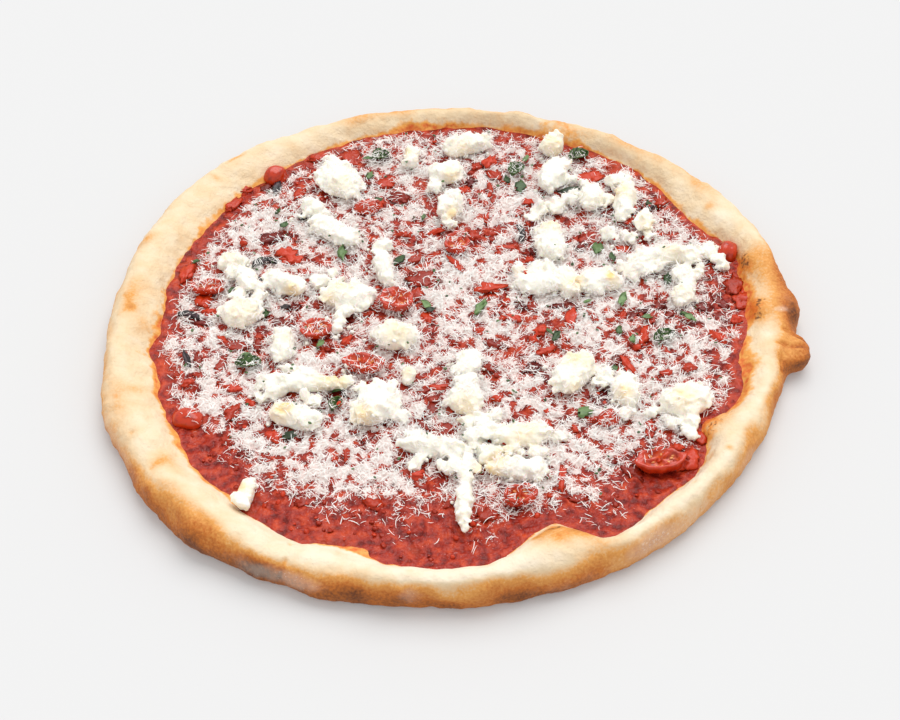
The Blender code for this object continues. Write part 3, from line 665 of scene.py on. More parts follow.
def olive_material(settings):
    """Black olive: a dark oily skin with a purple bloom."""
    material, tree, shader, place = new_material("black_olive", 0.28, 1.4)
    bloom = sharpened(tree, pattern(tree, place, 2.5 * MM, 3), 0.45, 0.75)
    tree.links.new(mixed(tree, bloom, settings.olive, linear("#4a2e36")), shader.inputs["Base Color"])
    bumped(tree, shader, ((pattern(tree, place, 0.8 * MM, 3), 0.1 * MM),))
    return material


def leaf_material(settings):
    """Basil leaf after the oven: dark green with brighter veins, wilted and slightly oily."""
    material, tree, shader, place = new_material("basil_leaf", 0.4)
    cooked = sharpened(tree, pattern(tree, place, 3 * MM, 3), 0.40, 0.65)
    colour = mixed(tree, cooked, settings.leaf, settings.leaf_dark)
    colour = mixed(tree, attribute(tree, "vein"), colour, linear("#7d9a4e"))
    tree.links.new(colour, shader.inputs["Base Color"])
    bumped(tree, shader, ((pattern(tree, place, 1 * MM, 3), 0.25 * MM),))
    return material


def shred_leaf_material(settings):
    """Shreds of basil: from dark and cooked to pale green."""
    material, tree, shader, place = new_material("basil_shred", 0.4)
    tone = plus(tree, attribute(tree, "tone"), times(tree, pattern(tree, place, 2 * MM, 3), 0.8))
    tone = minus(tree, tone, 0.4, clamp=True)
    stops = ((0.0, settings.leaf_dark), (0.45, settings.leaf), (1.0, linear("#74925a")))
    tree.links.new(ramp(tree, tone, stops), shader.inputs["Base Color"])
    bumped(tree, shader, ((pattern(tree, place, 1 * MM, 3), 0.2 * MM),))
    return material


def floor_material(settings):
    """A seamless paper floor: matte and pale, with no pattern that shows."""
    material, _tree, shader, _place = new_material("paper_floor", 0.9)
    shader.inputs["Base Color"].default_value = rgba(settings.floor)
    shader.inputs["Specular IOR Level"].default_value = 0.0
    shader.inputs["Emission Color"].default_value = (1, 1, 1, 1)
    shader.inputs["Emission Strength"].default_value = settings.glow
    return material


# ---- the dough ----

def rim_grid():
    """Radius and height of the dough's surface, by turn and by share of the section.

    Each section starts under the sauce, runs over the rim and ends under its foot.
    """
    tree = tree_of(rounded_copy("crust", 2))
    turns = np.arange(TURN_STEPS) * 2 * math.pi / TURN_STEPS
    reach = []
    for turn in turns:
        outward = Vector((math.cos(turn), math.sin(turn), 0))
        hit = tree.ray_cast(CENTRE + OUTSIDE * outward + Vector((0, 0, EDGE_HEIGHT)), -outward)
        reach.append(OUTSIDE - hit[3])
    hubs = (blurred(np.array(reach), 5, 0, True) - HUB_INSET).tolist()
    ray_angles = np.radians(np.linspace(FIRST_RAY, LAST_RAY, RAYS))
    shares = np.linspace(0, 1, SECTION_STEPS)
    radius = np.empty((TURN_STEPS, SECTION_STEPS))
    height = np.empty((TURN_STEPS, SECTION_STEPS))
    for step, turn in enumerate(turns):
        outward = Vector((math.cos(turn), math.sin(turn), 0))
        hub = CENTRE + hubs[step] * outward + Vector((0, 0, HUB_HEIGHT))
        section = []
        for angle in ray_angles:
            level, rise = math.cos(angle), math.sin(angle)
            distance = tree.ray_cast(hub, outward * level + Vector((0, 0, rise)))[3]
            section.append((hubs[step] + distance * level, HUB_HEIGHT + distance * rise))
        section = np.array(section)
        lengths = np.concatenate(([0], np.cumsum(np.hypot(*np.diff(section, axis=0).T))))
        radius[step] = np.interp(shares * lengths[-1], lengths, section[:, 0])
        height[step] = np.interp(shares * lengths[-1], lengths, section[:, 1])
    for axis, amount, closed in ((0, 1.4, True), (1, 0.9, False)):
        radius = blurred(radius, amount, axis, closed)
        height = blurred(height, amount, axis, closed)
    return radius, np.maximum(height, 0)


def spots(places, points):
    """Sum of soft round or long spots over the dough's points, which start at its middle."""
    total = np.zeros(points.shape[:2])
    for x, y, z, spread_round, spread_across, amount in places:
        away = points / MM - np.array((x, y, z))
        round_way = np.array((-y, x, 0)) / math.hypot(x, y)
        along = away @ round_way
        across = (away ** 2).sum(-1) - along ** 2
        total += amount * np.exp(-(along / spread_round) ** 2 - across / spread_across ** 2)
    return total


def crease_depth(points):
    """Depth of the creases at the dough's points, which start at its middle."""
    total = np.zeros(points.shape[:2])
    for *ends, width, depth in CREASES:
        first, last = np.array(ends[:3]), np.array(ends[3:])
        run = last - first
        away = points / MM - first
        part = np.clip(away @ run / (run @ run), 0, 1)
        gap = np.linalg.norm(away - part[..., None] * run, axis=-1)
        total = np.maximum(total, depth * MM * np.exp(-(gap / width) ** 2))
    return total


def by_turn(table, turns, item=1):
    """One item of a table's rows, each of which starts with its turn, at every turn."""
    rows = np.array(table)
    return np.interp(turns, rows[:, 0], rows[:, item])[:, None]


def outward_normals(points):
    """Unit normals of a grid of points that is closed along its first axis."""
    along = np.roll(points, -1, 0) - np.roll(points, 1, 0)
    across = np.gradient(points, axis=1)
    normals = np.cross(along, across)
    normals /= np.maximum(np.linalg.norm(normals, axis=2, keepdims=True), 1e-12)
    middle = points.shape[1] // 2
    return normals if normals[:, middle, 2].mean() > 0 else -normals


def build_dough(settings):
    """The dough in one piece: rim, base and underside, with how browned and oily each place is, painted
    shade in its creases and painted light on the front of its crest.
    """
    radius, height = rim_grid()
    turns = np.arange(TURN_STEPS) * 360 / TURN_STEPS
    shares = np.linspace(0, 1, SECTION_STEPS)
    cos, sin = np.cos(np.radians(turns))[:, None], np.sin(np.radians(turns))[:, None]
    points = np.stack((CENTRE.x + radius * cos, CENTRE.y + radius * sin, height), -1)
    across = np.hypot(np.diff(radius, axis=1), np.diff(height, axis=1)).sum(1)[:, None]
    from_middle = points - np.array(CENTRE)
    normals = outward_normals(points)
    direction = np.degrees(np.arctan2(normals[..., 0] * cos + normals[..., 1] * sin, normals[..., 2]))

    foot = smooth_step(NO_RELIEF, FULL_RELIEF, shares)[None, :]
    relief = settings.swell * clouds(points, 15 * MM, 1)
    relief += 0.55 * settings.swell * clouds(points, 6 * MM, 2)
    bubbles = np.maximum(clouds(points, 2.8 * MM, 3), 0)
    relief += settings.pimple * 2 * bubbles * smooth_step(10, 60, direction)
    relief += 0.35 * settings.pimple * clouds(points, 1.6 * MM, 4)
    relief += spots(BLISTERS, from_middle) * MM - crease_depth(from_middle)
    specks = spots(SPECKLED, from_middle)
    relief += 0.5 * settings.pimple * specks * clouds(points, 1.8 * MM, 7)
    points += normals * (relief * foot)[..., None]
    points[..., 2] = np.maximum(points[..., 2], 0)

    patchy = clouds(points, 22 * MM, 5) + 0.5 * clouds(points, 9 * MM, 8)
    past_start = direction + 26 * patchy - by_turn(BROWNING, turns, START)
    # The tone on top is partly painted light at the front of the crest.
    top_tone, side_tone = (by_turn(BROWNING, turns, item) for item in (TOP_TONE, SIDE_TONE))
    baked = top_tone + (side_tone - top_tone) * smooth_step(0, 85, past_start)
    baked += spots(BROWNED, from_middle)
    # Painted shade: the creases are darkened in colour as well as cut into the surface.
    baked += 0.16 * crease_depth(from_middle) / MM
    edge = np.argmax(height > SAUCE_TOP, axis=1)[:, None] / SECTION_STEPS
    past_edge = (shares[None, :] - edge) * across
    ring = from_middle[:, 0] / np.linalg.norm(from_middle[:, 0], axis=1)[:, None] * RING_RADIUS
    uneven = clouds(ring, 14 * MM, 6) + 0.8 * clouds(ring, 5 * MM, 9)
    band = by_turn(OIL_BAND, turns) * MM * np.maximum(1 + 0.9 * uneven, 0.3)[:, None]
    oil = 1.15 * np.exp(-(np.maximum(past_edge, 0) / band) ** 2)
    oil = oil + spots(OILED, from_middle) - 0.2
    flour = 0.12 * smooth_step(40, 90, direction) + spots(FLOURED, from_middle)

    middle_top = np.array((CENTRE.x, CENTRE.y, BASE_TOP))
    middle_foot = np.array((CENTRE.x, CENTRE.y, 0))
    first, last = points[:, 0], points[:, -1]
    inner = [middle_top + (first - middle_top) * part for part in BASE_RINGS]
    under = [middle_foot + (last - middle_foot) * part for part in FOOT_RINGS]
    for ring_points in inner:
        ring_points[:, 2] = BASE_TOP
    rings = np.stack(inner + [points[:, step] for step in range(SECTION_STEPS)] + under)
    mesh = grid_mesh("baked_dough", rings, middle_top, middle_foot)

    def spread(values, inside, below):
        """Values for every point of the mesh, with one number for the base's top and underside."""
        values = np.broadcast_to(values, radius.shape).T.ravel()
        base = np.full(len(inner) * TURN_STEPS, inside)
        underside = np.full(len(under) * TURN_STEPS, below)
        return np.concatenate((base, values, underside, (inside, below)))

    set_attribute(mesh, "baked", spread(baked, 0, FOOT_TONE))
    set_attribute(mesh, "oil", spread(np.clip(oil, -0.5, 1.2), 1, -0.5))
    set_attribute(mesh, "specks", spread(np.clip(specks, 0, 1), 0, 0))
    set_attribute(mesh, "flour", spread(flour, 0, FOOT_FLOUR))
    return mesh_object("baked_dough", mesh)


class PIZZA_OT_dough(bpy.types.Operator):
    """Build the baked dough with its rim"""
    bl_idname = "pizza.dough"
    bl_label = "Dough"

    def execute(self, context):
        settings = context.scene.pizza_dough
        finished(build_dough(settings), dough_material(settings), "crust", "crust")
        return {"FINISHED"}


# ---- the sauce ----

SAUCE_TURNS = 720
SAUCE_RINGS = 134
SAUCE_BOTTOM = BASE_TOP + 0.3 * MM
TUCK = 1.8 * MM            # how far the sauce runs into the rim
MAP_STEP = 1.25 * MM       # spacing of a height map's points
MAP_HALF = 124             # points of a height map on each side of the middle
ABOVE = 100 * MM           # a height over everything, from which rays fall


def height_map(tree, missing):
    """Heights of the highest surface over a square grid round the dough's middle."""
    heights = np.full((2 * MAP_HALF + 1, 2 * MAP_HALF + 1), float(missing))
    for row in range(heights.shape[0]):
        for column in range(heights.shape[1]):
            x, y = (column - MAP_HALF) * MAP_STEP, (row - MAP_HALF) * MAP_STEP
            start = CENTRE + Vector((x, y, ABOVE))
            hit = tree.ray_cast(start, Vector((0, 0, -1)))[0]
            if hit:
                heights[row, column] = hit.z
    return heights


def read_map(heights, x, y):
    """Values of a height map at places given from the dough's middle."""
    column = np.clip(x / MAP_STEP + MAP_HALF, 0, 2 * MAP_HALF - 0.001)
    row = np.clip(y / MAP_STEP + MAP_HALF, 0, 2 * MAP_HALF - 0.001)
    left, low = column.astype(int), row.astype(int)
    right_share, high_share = column - left, row - low
    lower, upper = (
        heights[line, left] * (1 - right_share) + heights[line, left + 1] * right_share
        for line in (low, low + 1)
    )
    return lower * (1 - high_share) + upper * high_share


def sauce_edge(dough_tree):
    """Distance from the middle at which the sauce meets the rim, for each turn."""
    distances = []
    for step in range(SAUCE_TURNS):
        turn = 2 * math.pi * step / SAUCE_TURNS
        start = CENTRE + Vector((0, 0, SAUCE_TOP))
        distances.append(dough_tree.ray_cast(start, Vector((math.cos(turn), math.sin(turn), 0)))[3])
    return np.array(distances)


def build_sauce(settings):
    """The pool of sauce, from the middle to just inside the rim's surface."""
    solid = height_map(tree_of(merged_copy("sauce")), SAUCE_TOP)
    solid = blurred(blurred(solid, 3.5, 0, False), 3.5, 1, False)
    edge = sauce_edge(tree_of(bpy.data.objects["baked_dough"].data))
    turns = np.arange(SAUCE_TURNS) * 2 * math.pi / SAUCE_TURNS
    shares = (np.arange(SAUCE_RINGS) + 1) / SAUCE_RINGS
    radius = shares[:, None] * (edge + TUCK)[None, :]
    x, y = radius * np.cos(turns), radius * np.sin(turns)
    level = read_map(solid, x, y)
    flat = level_points(x, y)
    pulp = 0.7 * abs(clouds(flat, 7 * MM, 11)) + 0.9 * abs(clouds(flat, 3.2 * MM, 12)) - 0.35
    pulp += 0.25 * clouds(flat, 1.6 * MM, 13)
    level += settings.pulp * 2 * pulp
    near_edge = smooth_step(9 * MM, 1 * MM, (edge[None, :] - radius))
    swell = 0.5 * MM * clouds(flat, 8 * MM, 14)
    level = level * (1 - near_edge) + (SAUCE_TOP + 0.2 * MM + swell) * near_edge
    top = np.stack((CENTRE.x + x, CENTRE.y + y, level), -1)
    under = top[-3].copy()
    under[:, 2] = SAUCE_BOTTOM
    under[:, :2] = np.array(CENTRE.xy) + (under[:, :2] - np.array(CENTRE.xy)) * 0.93
    rings = np.concatenate((top, under[None]))
    middle = Vector((CENTRE.x, CENTRE.y, level[0].mean()))
    mesh = grid_mesh("tomato_sauce", rings, middle, (CENTRE.x, CENTRE.y, SAUCE_BOTTOM))
    melted = cheese_cover(x, y, edge[None, :] - radius, np.degrees(turns)[None, :])
    bottom = np.zeros(SAUCE_TURNS)
    set_attribute(mesh, "melted", np.concatenate((melted.ravel(), bottom, (melted[0].mean(), 0))))
    return mesh_object("tomato_sauce", mesh)


class PIZZA_OT_sauce(bpy.types.Operator):
    """Pour the tomato sauce into the rim"""
    bl_idname = "pizza.sauce"
    bl_label = "Sauce"

    def execute(self, context):
        settings = context.scene.pizza_sauce
        material = sauce_material(settings, context.scene.pizza_cheese)
        finished(build_sauce(settings), material, "sauce", "sauce")
        return {"FINISHED"}


# ---- ricotta ----

# Curds that fill the gaps between lumps: (x, y, radius), in mm from the dough's middle.
EXTRA_CURDS = (
    (-57, 120, 4), (-52, 119, 3), (-66, 83, 5), (-62, 80, 4), (-70, 79, 3.5), (-47, 61, 3), (-17, 127, 4),
    (8, 138, 4), (-4, 104, 4), (-5, 98, 3.5), (3, 72, 3.5), (62, 118, 4), (65, 104, 3.5), (75, 103, 4),
    (67, 96, 3), (62, 88, 4.5), (56, 84, 4), (50, 80, 4), (45, 77, 3), (82, 88, 3), (84, 90, 3.5),
    (102, 75, 4), (101, 69, 4.5), (103, 64, 3), (85, 64, 4), (82, 62, 3), (94, 62, 3.5), (88, 104, 4),
    (93, 107, 3.5), (-96, 31, 5), (-94, 25, 5), (-91, 20, 4.5), (-104, 33, 4), (-99, 18, 4), (-88, 16, 4),
    (-60, 29, 4), (-52, 30, 4), (-42, 27, 3), (-48, 6, 3.5), (-50, 1, 3.5), (-51, -4, 3), (-31, 53, 4),
    (-29, 55, 3.5), (38, 36, 4), (45, 36, 4.5), (53, 36, 4), (60, 33, 4), (62, 28, 5), (62, 20, 4),
    (93, 34, 4.5), (90, 38, 3.5), (95, 40, 4), (99, 37, 3.5), (104, 39, 3.5), (117, 33, 4.5), (119, 37, 4),
    (124, 36, 3.5), (136, 43, 3.5), (138, 40, 3), (132, 50, 4), (-72, -31, 3), (-65, -38, 5),
    (-45, -40, 3.5), (-38, -43, 3), (-24, -43, 3), (-18, -62, 3), (12, -41, 5), (14, -66, 5), (18, -70, 5),
    (22, -64, 4), (17, -79, 5), (19, -85, 4), (23, -85, 4), (32, -84, 4), (42, -84, 4), (8, -90, 5),
    (3, -92, 4), (12, -94, 4.5), (-12, -90, 3.5), (76, -37, 4), (72, -40, 3.5), (74, -33, 3),
    (84, -60, 3.5), (112, -67, 3.5), (112, -72, 3), (104, -65, 3.5), (113, -64, 4), (95, -60, 3),
    (52, -74, 3), (-12, -76, 4), (-60, -52, 4), (-76, -47, 4), (-84, -50, 3),
)
# Stained places of the curd: (x, y, radius, amount), in mm from the dough's middle.
STAINS = (
    (-72, -60, 5, 1.0), (-47, -40, 4, 0.6), (-54, -41, 5, 0.45), (54, 68, 7, 0.45), (91, 92, 6, 0.5),
    (-36, -65, 5, 0.6), (36, -76, 8, 0.35), (82, 27, 3, 1.0), (64, 25, 5, 0.5), (80, 33, 5, 0.3),
    (10, -58, 7, 0.3), (26, -87, 5, 0.5), (20, -98, 6, 0.7), (-20, 124, 5, 0.5), (10, 130, 7, 0.3),
    (5, 75, 4, 0.6), (4, 106, 4, 0.5), (-52, 97, 5, 0.3), (-50, 22, 4, 0.4), (-56, 13, 5, 0.4),
    (-46, 18, 4, 0.35), (-73, 19, 4, 0.6), (-104, 42, 5, 0.3), (-96, 3, 7, 0.35), (-22, -12, 7, 0.4),
    (-75, -15, 4, 0.35), (62, -30, 7, 0.5), (62, -47, 5, 0.3), (84, -50, 4, 0.6), (110, -54, 7, 0.5),
    (114, 48, 7, 0.35), (115, 18, 5, 0.25), (103, 69, 5, 0.4), (58, 130, 6, 0.5), (-88, -108, 5, 0.5),
    (-16, -35, 4, 0.4),
)


CURD_CORNERS = 12
CURD_SIZES = (1.4, 3.2)    # smallest and largest radius of a curd, in mm
LEAST_CURDS = 8            # on a lump
LUMP_SIZE = 20 * MM        # of the lump that the setting for curds is given for
CORE_SHARE = 0.88          # size of a lump's core, as a share of its solid
EXTRA_SIZE = 1.3           # by which the extra curds are larger than their table says


def add_curd(bm, middle, radius, draw):
    """Add one angular curd: the hull of a few points round its middle."""
    corners = []
    for _corner in range(CURD_CORNERS):
        turn, rise = draw.uniform(0, 2 * math.pi), draw.uniform(-1, 1)
        level = math.sqrt(1 - rise * rise)
        reach = radius * draw.uniform(0.8, 1.15)
        way = Vector((level * math.cos(turn), level * math.sin(turn), 0.85 * rise))
        corners.append(bm.verts.new(middle + reach * way))
    hull = bmesh.ops.convex_hull(bm, input=corners)
    bmesh.ops.delete(bm, geom=list({*hull["geom_interior"], *hull["geom_unused"]}), context="VERTS")


def extra_curds(node):
    """The extra curds that lie nearest to one lump."""
    lumps = {name: placing(name)[0] for name in node_names("ricotta")}
    chosen = []
    for x, y, radius in EXTRA_CURDS:
        radius *= EXTRA_SIZE
        place = np.array((CENTRE.x + x * MM, CENTRE.y + y * MM))
        nearest = min(lumps, key=lambda name: np.hypot(*(lumps[name][:2] - place)))
        if nearest == node:
            chosen.append((place, radius * MM))
    return chosen


def build_lump(node, name, settings, draw):
    """A lump of ricotta: a core with angular curds all over it, melted together."""
    solid = rounded_copy(node, 1)
    points = points_of(solid)
    low, high = points.min(0), points.max(0)
    middle = (low + high) / 2
    bm = bmesh.new()
    bm.from_mesh(solid)
    for vertex in bm.verts:
        vertex.co = Vector(middle) + (vertex.co - Vector(middle)) * CORE_SHARE
    surface = points[points[:, 2] > low[2] + 2 * MM]
    count = round(settings.curds * np.ptp(points[:, 0]) * np.ptp(points[:, 1]) / LUMP_SIZE ** 2)
    for _curd in range(max(count, LEAST_CURDS)):
        place = Vector(surface[draw.randrange(len(surface))])
        radius = draw.uniform(*CURD_SIZES) * MM
        place += (Vector(middle) - place).normalized() * radius * draw.uniform(0.3, 1.2)
        add_curd(bm, place, radius, draw)
    for place, radius in extra_curds(node):
        rise = low[2] + 0.55 * radius
        add_curd(bm, Vector((*place, rise)), radius, draw)
        for _crumb in range(3):
            turn = draw.uniform(0, 2 * math.pi)
            beside = Vector((math.cos(turn), math.sin(turn), draw.uniform(-0.2, 0.7))) * 0.7 * radius
            add_curd(bm, Vector((*place, rise)) + beside, radius * draw.uniform(0.4, 0.7), draw)
    piece = mesh_object("lump", mesh_of(bm, "curds"))
    remesh = piece.modifiers.new("melt", "REMESH")
    remesh.mode = "VOXEL"
    remesh.voxel_size = settings.voxel
    smooth = piece.modifiers.new("soften", "SMOOTH")
    smooth.iterations = 5
    mesh = baked_mesh(piece)
    points = points_of(mesh)
    relief = settings.depth * (0.5 - 1.2 * grains(points, settings.crumb, 2))
    relief += 0.5 * settings.depth * clouds(points, 4 * MM, 3)
    points += normals_of(mesh) * relief[:, None]
    set_points(mesh, points)
    stain = np.zeros(len(points))
    for x, y, radius, amount in STAINS:
        away = np.hypot(points[:, 0] - CENTRE.x - x * MM, points[:, 1] - CENTRE.y - y * MM)
        stain += amount * np.exp(-(away / (radius * MM)) ** 2)
    set_attribute(mesh, "stain", np.clip(stain * (1 + 0.8 * clouds(points, 3 * MM, 5)), 0, 1))
    return mesh_object(name, mesh)


class PIZZA_OT_ricotta(bpy.types.Operator):
    """Build the lumps of ricotta"""
    bl_idname = "pizza.ricotta"
    bl_label = "Ricotta"

    def execute(self, context):
        settings = context.scene.pizza_ricotta
        material = ricotta_material(settings)
        draw = random.Random(3)
        for node in node_names("ricotta"):
            finished(build_lump(node, node + "_curd", settings, draw), material, "ricotta", node)
        return {"FINISHED"}


# ---- tomatoes, olives and basil ----

# Sections of a tomato half from the middle of its top: (share of the radius, share of the
# height, inside).
CUT_SECTION = (
    (0.12, 0.66, 1.0), (0.30, 0.60, 1.0), (0.48, 0.56, 1.0), (0.62, 0.60, 1.0), (0.72, 0.80, 0.8),
    (0.78, 0.94, 0.5), (0.86, 1.00, 0.4), (0.94, 0.99, 0.2), (0.985, 0.93, 0.0), (1.0, 0.80, 0.0),
    (0.99, 0.60, 0.0), (0.94, 0.38, 0.0), (0.82, 0.16, 0.0), (0.60, 0.03, 0.0), (0.30, 0.0, 0.0),
)
SKIN_SECTION = (
    (0.15, 1.0, 0.0), (0.32, 0.97, 0.0), (0.50, 0.90, 0.0), (0.68, 0.78, 0.0), (0.83, 0.60, 0.0),
    (0.94, 0.40, 0.0), (1.0, 0.20, 0.0), (0.99, 0.06, 0.1), (0.92, 0.0, 0.3), (0.60, 0.0, 0.5),
)
DOME_FACES = 80            # faces of the CAD halves that lie on their cut face; the others have more
FLATTEST = 0.6             # greatest height of a half on its cut face, as a share of its width
TOMATO_TURNS = 44
CHAMBERS = 3
WALL_HEIGHT = 0.30         # of the walls between the chambers, as a share of the half's height
SEEDS = 9                  # in a half
SEED_SIZE = (0.95 * MM, 0.65 * MM, 0.4 * MM, 1)
SEED_LEVEL = 0.66          # share of the half's height


def is_cut_up(node):
    """Whether a tomato half lies with its cut face up."""
    return len(frame["nodes"][node].data.polygons) > DOME_FACES


def build_tomato(node, name, draw):
    """Half a cherry tomato, with its chambers where the cut face is up, or with a creased skin."""
    middle, turn, length, width, low, high = placing(node)
    cut_up = is_cut_up(node)
    section = np.array(CUT_SECTION if cut_up else SKIN_SECTION)
    high = high if cut_up else min(high, low + FLATTEST * width)
    angles = np.arange(TOMATO_TURNS) * 2 * math.pi / TOMATO_TURNS
    radius = np.repeat(section[:, 0:1], TOMATO_TURNS, 1)
    height = np.repeat(section[:, 1:2], TOMATO_TURNS, 1)
    inside = np.repeat(section[:, 2:3], TOMATO_TURNS, 1)
    phase = draw.uniform(0, 6)
    if cut_up:
        walls = abs(np.cos(CHAMBERS / 2 * angles + phase)) ** 6
        height += (inside > 0.7) * walls * WALL_HEIGHT
        inside = inside - (inside > 0.7) * walls * 0.5
    x, y = radius * np.cos(angles) * length / 2, radius * np.sin(angles) * width / 2
    z = low + height * (high - low)
    points = np.stack((x, y, z), -1)
    uneven = clouds(points + np.array(middle), 4 * MM, 21)
    points[..., :2] *= (1 + 0.18 * uneven)[..., None]
    points[..., 2] += 0.7 * MM * uneven * smooth_step(0.2, 0.7, height)
    spin = np.array(Matrix.Rotation(turn, 3, "Z"))
    points = points @ spin.T
    points[..., :2] += middle[:2]
    top = (*middle[:2], points[0, :, 2].mean())
    mesh = grid_mesh(name, points, top, (*middle[:2], points[-1, :, 2].mean()))
    set_attribute(mesh, "inside", np.concatenate((inside.ravel(), (inside[0].mean(), 0))))
    return mesh_object(name, mesh), cut_up


def build_seeds(halves, name, draw):
    """The seeds that lie in the chambers of the cut halves, as one mesh."""
    bm = bmesh.new()
    for node in halves:
        middle, turn, length, width, low, high = placing(node)
        for index in range(SEEDS):
            angle = 2 * math.pi * (index + draw.uniform(0.2, 0.8)) / SEEDS
            share = draw.uniform(0.30, 0.60)
            along, across = share * length / 2 * math.cos(angle), share * width / 2 * math.sin(angle)
            place = Vector((
                middle[0] + along * math.cos(turn) - across * math.sin(turn),
                middle[1] + along * math.sin(turn) + across * math.cos(turn),
                low + SEED_LEVEL * (high - low),
            ))
            spin = Matrix.Rotation(angle + turn + draw.uniform(-0.4, 0.4), 4, "Z")
            matrix = Matrix.Translation(place) @ spin @ Matrix.Diagonal(SEED_SIZE)
            bmesh.ops.create_icosphere(bm, subdivisions=2, radius=1, matrix=matrix)
    return mesh_object(name, mesh_of(bm, name))


class PIZZA_OT_tomatoes(bpy.types.Operator):
    """Build the halves of cherry tomato and their seeds"""
    bl_idname = "pizza.tomatoes"
    bl_label = "Tomatoes"

    def execute(self, context):
        settings = context.scene.pizza_toppings
        material = tomato_material(settings)
        draw = random.Random(5)
        cut_halves = []
        for node in node_names("tomato"):
            piece, cut_up = build_tomato(node, node + "_half", draw)
            finished(piece, material, "tomato", node)
            if cut_up:
                cut_halves.append(node)
        finished(build_seeds(cut_halves, "tomato_seeds", draw), seed_material(settings), "tomato")
        return {"FINISHED"}


def build_olive(node, name):
    """A piece of olive with rounded edges and a slightly wrinkled skin."""
    mesh = rounded_copy(node, 3)
    points = points_of(mesh)
    relief = 0.25 * MM * clouds(points, 2.5 * MM, 31)
    set_points(mesh, points + normals_of(mesh) * relief[:, None])
    return mesh_object(name, mesh)


class PIZZA_OT_olives(bpy.types.Operator):
    """Build the pieces of black olive"""
    bl_idname = "pizza.olives"
    bl_label = "Olives"

    def execute(self, context):
        material = olive_material(context.scene.pizza_toppings)
        for node in node_names("olive"):
            finished(build_olive(node, node + "_piece"), material, "olive", node)
        return {"FINISHED"}


LEAF_LENGTHWISE = 30
LEAF_CROSSWISE = 16
LEAF_THICKNESS = 0.35 * MM
MIDRIB = 0.03              # width of the midrib, as a share of the leaf's
SIDE_VEINS = 9
PUCKER = 0.45 * MM         # height of the leaf between its veins


def build_leaf(node, name):
    """A wilted basil leaf: pointed, folded along its midrib, puckered between its veins."""
    middle, turn, length, width, low, high = placing(node)
    bm = bmesh.new()
    bmesh.ops.create_grid(bm, x_segments=LEAF_LENGTHWISE, y_segments=LEAF_CROSSWISE, size=0.5)
    veins = bm.verts.layers.float.new("vein")
    for vertex in bm.verts:
        x, y, _z = vertex.co
        outline = math.sqrt(max(1 - (2 * x) ** 2, 0.0025)) ** 1.3
        side_vein = abs(math.sin(SIDE_VEINS * (x + 0.9 * abs(y)) * math.pi / 2)) ** 8
        midrib = math.exp(-(y / MIDRIB) ** 2)
        vertex[veins] = 0.6 * max(midrib, 0.5 * (1 - side_vein) ** 6)
        fold = 3.2 * abs(y) ** 1.2 * (high - low) * 0.8
        pucker = PUCKER * side_vein * (1 - midrib)
        curl = 0.35 * (high - low) * (1 + math.sin(6 * x + 40 * middle[0] / MM))
        vertex.co = (x * length, y * width * outline * 1.15, low + fold + pucker + curl * 0.5)
    bmesh.ops.rotate(bm, verts=bm.verts, cent=(0, 0, 0), matrix=Matrix.Rotation(turn, 3, "Z"))
    bmesh.ops.translate(bm, verts=bm.verts, vec=(middle[0], middle[1], 0))
    piece = mesh_object(name, mesh_of(bm, name))
    solid = piece.modifiers.new("thickness", "SOLIDIFY")
    solid.thickness = LEAF_THICKNESS
    solid.offset = 0
    return mesh_object(name, baked_mesh(piece))


class PIZZA_OT_basil(bpy.types.Operator):
    """Build the basil leaves"""
    bl_idname = "pizza.basil"
    bl_label = "Basil"

    def execute(self, context):
        material = leaf_material(context.scene.pizza_toppings)
        for node in node_names("basil"):
            finished(build_leaf(node, node + "_leaf"), material, "basil", node)
        return {"FINISHED"}


# ---- scattered pieces: grated cheese, crumbs and flecks ----

# Where the grated cheese lies thick, in mm from the dough's middle: (x, y, radius, amount).
THICK = (
    (-100, 70, 22, 0.6), (-92, 82, 16, 0.5), (-45, 72, 22, 0.5), (-62, 64, 16, 0.4), (-30, 112, 18, 0.4),
    (36, 126, 14, 0.4), (30, 90, 20, 0.5), (55, 84, 12, 0.8), (18, 36, 20, 0.5), (6, 14, 20, 0.6),
    (-8, 60, 16, 0.3), (-112, -4, 14, 0.6), (-112, -46, 18, 0.8), (-98, 26, 16, 0.6), (-60, 32, 16, 0.5),
    (-60, -84, 28, 0.9), (-84, -46, 22, 0.8), (-24, -84, 20, 0.6), (64, -80, 24, 0.9), (92, -62, 14, 0.9),
    (46, 32, 18, 0.8), (98, 32, 14, 0.8), (72, 4, 16, 0.8), (74, -10, 18, 0.6), (62, 50, 18, 0.5),
    (108, 46, 22, 0.9), (34, -58, 20, 0.6), (20, -45, 18, 0.6), (6, -12, 18, 0.6), (122, -14, 14, 0.6),
    (-60, -14, 18, 0.5), (104, -32, 18, 0.5), (-30, -64, 14, 0.7), (-6, -76, 14, 0.7), (0, -52, 12, 0.6),
    (20, -70, 14, 0.5), (40, -88, 12, 0.5), (-48, -66, 14, 0.5),
)
# Where the sauce shows: (x, y, radius, amount).
BARE = (
    (0, -130, 24, 0.9), (-75, -122, 24, 1.0), (-40, -132, 22, 0.9), (92, -104, 22, 0.95),
    (60, -124, 16, 0.9), (34, -122, 10, 0.5), (-108, -78, 13, 0.9), (-122, -70, 10, 0.8),
    (-128, -34, 9, 0.8), (110, -90, 12, 0.8), (-108, 90, 9, 0.7), (-122, 66, 9, 0.6), (-130, 34, 8, 0.7),
    (-98, 103, 9, 0.7), (143, 24, 9, 0.8), (136, 14, 9, 0.5), (-95, -96, 12, 0.9), (-50, 128, 8, 0.5),
    (96, -78, 9, 0.5),
)
